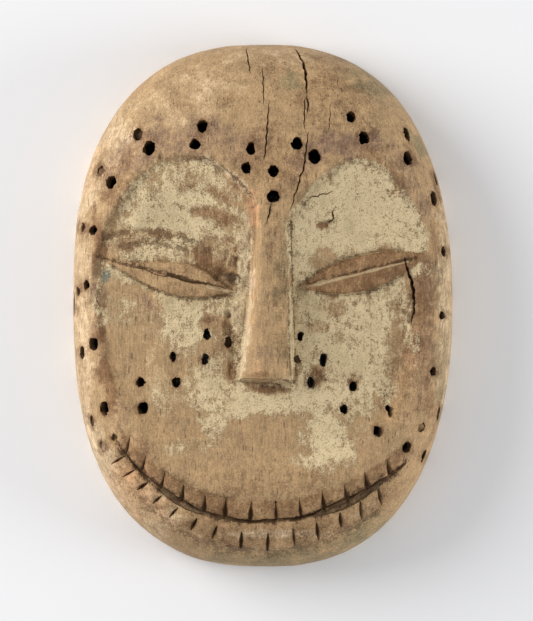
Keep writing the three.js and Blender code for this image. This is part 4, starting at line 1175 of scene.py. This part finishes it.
def woodMaterial():
    material = bpy.data.materials.new("kaolinRubbedHardwood")
    material.use_nodes = True
    tree = material.node_tree
    shader = tree.nodes["Principled BSDF"]
    place = addNode(tree, "ShaderNodeTexCoord").outputs["Object"]
    noise = {}
    for name, (size, longer, detail, roughness) in woodLook["noises"].items():
        scale = 1 / (size * mm)
        space = addNode(tree, "ShaderNodeMapping", inputs={
            "Vector": place, "Scale": (scale, scale / longer, scale)})
        noise[name] = addNode(tree, "ShaderNodeTexNoise", inputs={
            "Vector": space, "Scale": 1, "Detail": detail, "Roughness": roughness}).outputs["Fac"]
    at = {name: addNode(tree, "ShaderNodeAttribute", {"attribute_name": name}).outputs["Fac"]
          for name in [*finish, "cut", "back"]}
    off = {}
    for name in [*knifeLines, "seam"]:
        offset = addNode(tree, "ShaderNodeAttribute", {"attribute_name": name}).outputs["Vector"]
        length = addNode(tree, "ShaderNodeVectorMath", {"operation": "LENGTH"}, {0: offset})
        off[name] = length.outputs["Value"]

    # Bare wood with its stains, rubbed places and painted light and shade, clouded and faintly streaked up
    # the grain
    color = woodColors["middle"]
    for name, patch in stains.items():
        part = patchOf(tree, at[name], noise, *patch)
        color = addNode(tree, "ShaderNodeMix", blend, {0: part, 6: color, 7: woodColors[name]}).outputs[2]
    tone = addNode(tree, "ShaderNodeMapRange", inputs={
        "Value": fray(tree, 0.5, noise, woodLook["tone"]), "From Min": woodLook["toneFrom"],
        "From Max": woodLook["toneTo"], "To Min": woodLook["darkest"], "To Max": woodLook["lightest"]})
    color = addNode(tree, "ShaderNodeVectorMath", {"operation": "SCALE"}, {0: color, "Scale": tone})

    # Short dark pores, and sand grains in the clay
    pores, grit = woodLook["pores"], woodLook["grit"]
    poreScale = [1 / (pores[side] * mm) for side in ("width", "length", "width")]
    poreSpace = addNode(tree, "ShaderNodeMapping", inputs={"Vector": place, "Scale": poreScale})
    dashes = addNode(tree, "ShaderNodeTexVoronoi", inputs={"Vector": poreSpace, "Scale": 1})
    grains = addNode(tree, "ShaderNodeTexVoronoi", inputs={
        "Vector": place, "Scale": 1 / (grit["spacing"] * mm)})
    rare = addNode(tree, "ShaderNodeSeparateColor", inputs={0: dashes.outputs["Color"]})
    shown = addNode(tree, "ShaderNodeMath", {"operation": "GREATER_THAN"}, {0: rare, 1: pores["rare"]})
    laid = {name: patchOf(tree, at["clay" if name == "specks" else name], noise, *patch)
            for name, patch in coats.items()}

    # Soft thresholds: what is measured, from, to and the most of it
    sandy = fray(tree, 0.5, noise, woodLook["sandy"])
    crust = fray(tree, off["seam"], noise, woodLook["seamRagged"])
    ramps = {"dash": (dashes.outputs["Distance"], *pores["edge"], 1),
             "grain": (grains.outputs["Distance"], *grit["edge"], 1),
             "sandy": (sandy, *woodLook["sandyEdge"], 1), "seam": (crust, *woodLook["seamEdge"], 1),
             **{name: (at["cut"], *ramp) for name, ramp in inCuts.items()}}
    breaks = fray(tree, 0, noise, woodLook["lineBreaks"])
    for name, line in knifeLines.items():
        ragged = addNode(tree, "ShaderNodeMath", multiplyAdd,
                         {0: off[name], 1: 1 / line["halfWidth"], 2: breaks})
        ramps[name] = (ragged, *woodLook["lineEdge"], line["darkening"])
    part = {name: addNode(tree, "ShaderNodeMapRange", smooth, {
        "Value": value, "From Min": start, "From Max": end, "To Max": high})
        for name, (value, start, end, high) in ramps.items()}
    part["line"] = 0
    for name in knifeLines:
        part["line"] = addNode(tree, "ShaderNodeMath", {"operation": "MAXIMUM"},
                               {0: part["line"], 1: part[name]})
    bare = addNode(tree, "ShaderNodeMath", {"operation": "SUBTRACT"}, {0: 1, 1: part["seam"]})
    part.update(laid, bare=bare, shown=shown, sand=noise["sand"],
                mottle=noise["mottle"], fibre=noise["fibre"], splinters=at["splinters"], back=at["back"])
    for name, first, second in (
            ("pore", "dash", "shown"), ("specks", "grain", "specks"), ("line", "line", "bare"),
            ("soilAndShade", "soilAndShade", "bare"), ("siltBand", "siltTop", "siltFoot"), ("silt", "silt", "siltBand"),
            ("sandyClay", "sand", "clay"), ("torn", "mottle", "splinters"),
            ("poreStain", "pore", pores["dark"]), ("seamCrust", "seam", woodLook["seam"]),
            ("backStain", "back", woodLook["backStain"])):
        part[name] = addNode(tree, "ShaderNodeMath", multiply, {
            0: part[first], 1: part[second] if isinstance(second, str) else second})

    # The crust is cream clay, hazed and sandy in places. Then every layer goes over the wood in turn,
    # the painted shade in lines and cuts among them
    cream = woodColors["clay"]
    for over in ("haze", "sandy"):
        cream = addNode(tree, "ShaderNodeMix", blend,
                        {0: part[over], 6: cream, 7: woodColors["haze"]}).outputs[2]
    for over, name in ((woodColors["speck"], "poreStain"), (cream, "clay"), (woodColors["speck"], "specks"),
                       (cream, "seamCrust"), (woodColors["soilAndShade"], "line"), (woodColors["soilAndShade"], "soilAndShade"),
                       (woodColors["silt"], "silt"), (woodColors["deepShade"], "deepShade"),
                       (woodColors["back"], "backStain")):
        color = addNode(tree, "ShaderNodeMix", blend, {0: part[name], 6: color, 7: over}).outputs[2]
    tree.links.new(color, shader.inputs["Base Color"])
    rough = addNode(tree, "ShaderNodeMapRange", inputs={
        "Value": part["clay"], "To Min": woodLook["woodRoughness"], "To Max": woodLook["clayRoughness"]})
    tree.links.new(rough.outputs[0], shader.inputs["Roughness"])
    shader.inputs["Specular IOR Level"].default_value = woodLook["shine"]

    # Fibres, sand and clay stand up; pores, specks and lines are sunk
    height = part["sandyClay"]
    for name, weight in bumps.items():
        height = addNode(tree, "ShaderNodeMath", multiplyAdd, {0: part[name], 1: weight, 2: height})
    bump = addNode(tree, "ShaderNodeBump", inputs={
        "Strength": woodLook["bumpStrength"], "Distance": woodLook["bumpDepth"] * mm, "Height": height})
    tree.links.new(bump.outputs[0], shader.inputs["Normal"])
    return material


mask.data.materials.clear()
mask.data.materials.append(woodMaterial())
print("wood and clay coloured")
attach(mask, "root")
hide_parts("mask")

# Camera, lamps and the card under the mask

# The height and scale of the photo, then what the camera sees in mm and where it stands in metres
photo = {"rows": 621, "mmPerPixel": 0.2854}
view = {"tall": photo["rows"] * photo["mmPerPixel"], "centreX": 1.14, "centreY": -1.36,
        "distance": 3.0, "planeZ": 0.02, "far": 100, "sensor": 36}
studio = {"lampDistance": 1.5, "aimZ": 0.02, "sky": "#fbfbfc", "room": 0.5,
          "floorHalf": 2500, "paper": "#f4f6fa", "paperRoughness": 0.9}
# turn and height in degrees seen from the mask, size in metres, power in watts, colour
lamps = {"key": (158, 23, 1.25, 24.5, "#fffbf6"), "rim": (-8, 17, 0.8, 11, "#fffdf8")}


def makeCamera():
    camera = bpy.data.cameras.new("camera")
    camera.sensor_width = view["sensor"]
    camera.lens = view["sensor"] * (view["distance"] - view["planeZ"]) / (view["tall"] * mm)
    camera.clip_end = view["far"]
    eye = bpy.data.objects.new("camera", camera)
    eye.location = (view["centreX"] * mm, view["centreY"] * mm, view["distance"])
    bpy.context.scene.collection.objects.link(eye)
    bpy.context.scene.camera = eye


def makeLight(name, turn, height, size, power, color):
    # A soft round box aimed at the mask
    turn, height = math.radians(turn), math.radians(height)
    away = Vector((math.cos(turn) * math.cos(height), math.sin(turn) * math.cos(height), math.sin(height)))
    lamp = bpy.data.lights.new(name, "AREA")
    lamp.shape, lamp.size, lamp.energy = "DISK", size, power
    lamp.color = hexColor(color)[:3]
    thing = bpy.data.objects.new(name, lamp)
    thing.location = away * studio["lampDistance"] + Vector((0, 0, studio["aimZ"]))
    thing.rotation_euler = away.to_track_quat("Z", "Y").to_euler()
    bpy.context.scene.collection.objects.link(thing)


def makeStage():
    corners = np.array([(-1, -1, 0), (1, -1, 0), (1, 1, 0), (-1, 1, 0)]) * studio["floorHalf"]
    floor = meshObject("floor", corners, ([], [(0, 1, 2, 3)]))
    # Uncoated white card, matt, so that only a soft shade shows on it
    paper = bpy.data.materials.new("uncoatedCard")
    paper.use_nodes = True
    shader = paper.node_tree.nodes["Principled BSDF"]
    shader.inputs["Base Color"].default_value = hexColor(studio["paper"])
    shader.inputs["Roughness"].default_value = studio["paperRoughness"]
    floor.data.materials.append(paper)
    world = bpy.data.worlds.new("studio")
    world.use_nodes = True
    sky = world.node_tree.nodes["Background"]
    sky.inputs["Color"].default_value = hexColor(studio["sky"])
    sky.inputs["Strength"].default_value = studio["room"]
    bpy.context.scene.world = world
    bpy.context.scene.view_settings.view_transform = "Standard"


makeCamera()
for name, values in lamps.items():
    makeLight(name, *values)
makeStage()
print("camera, lamps and card set")
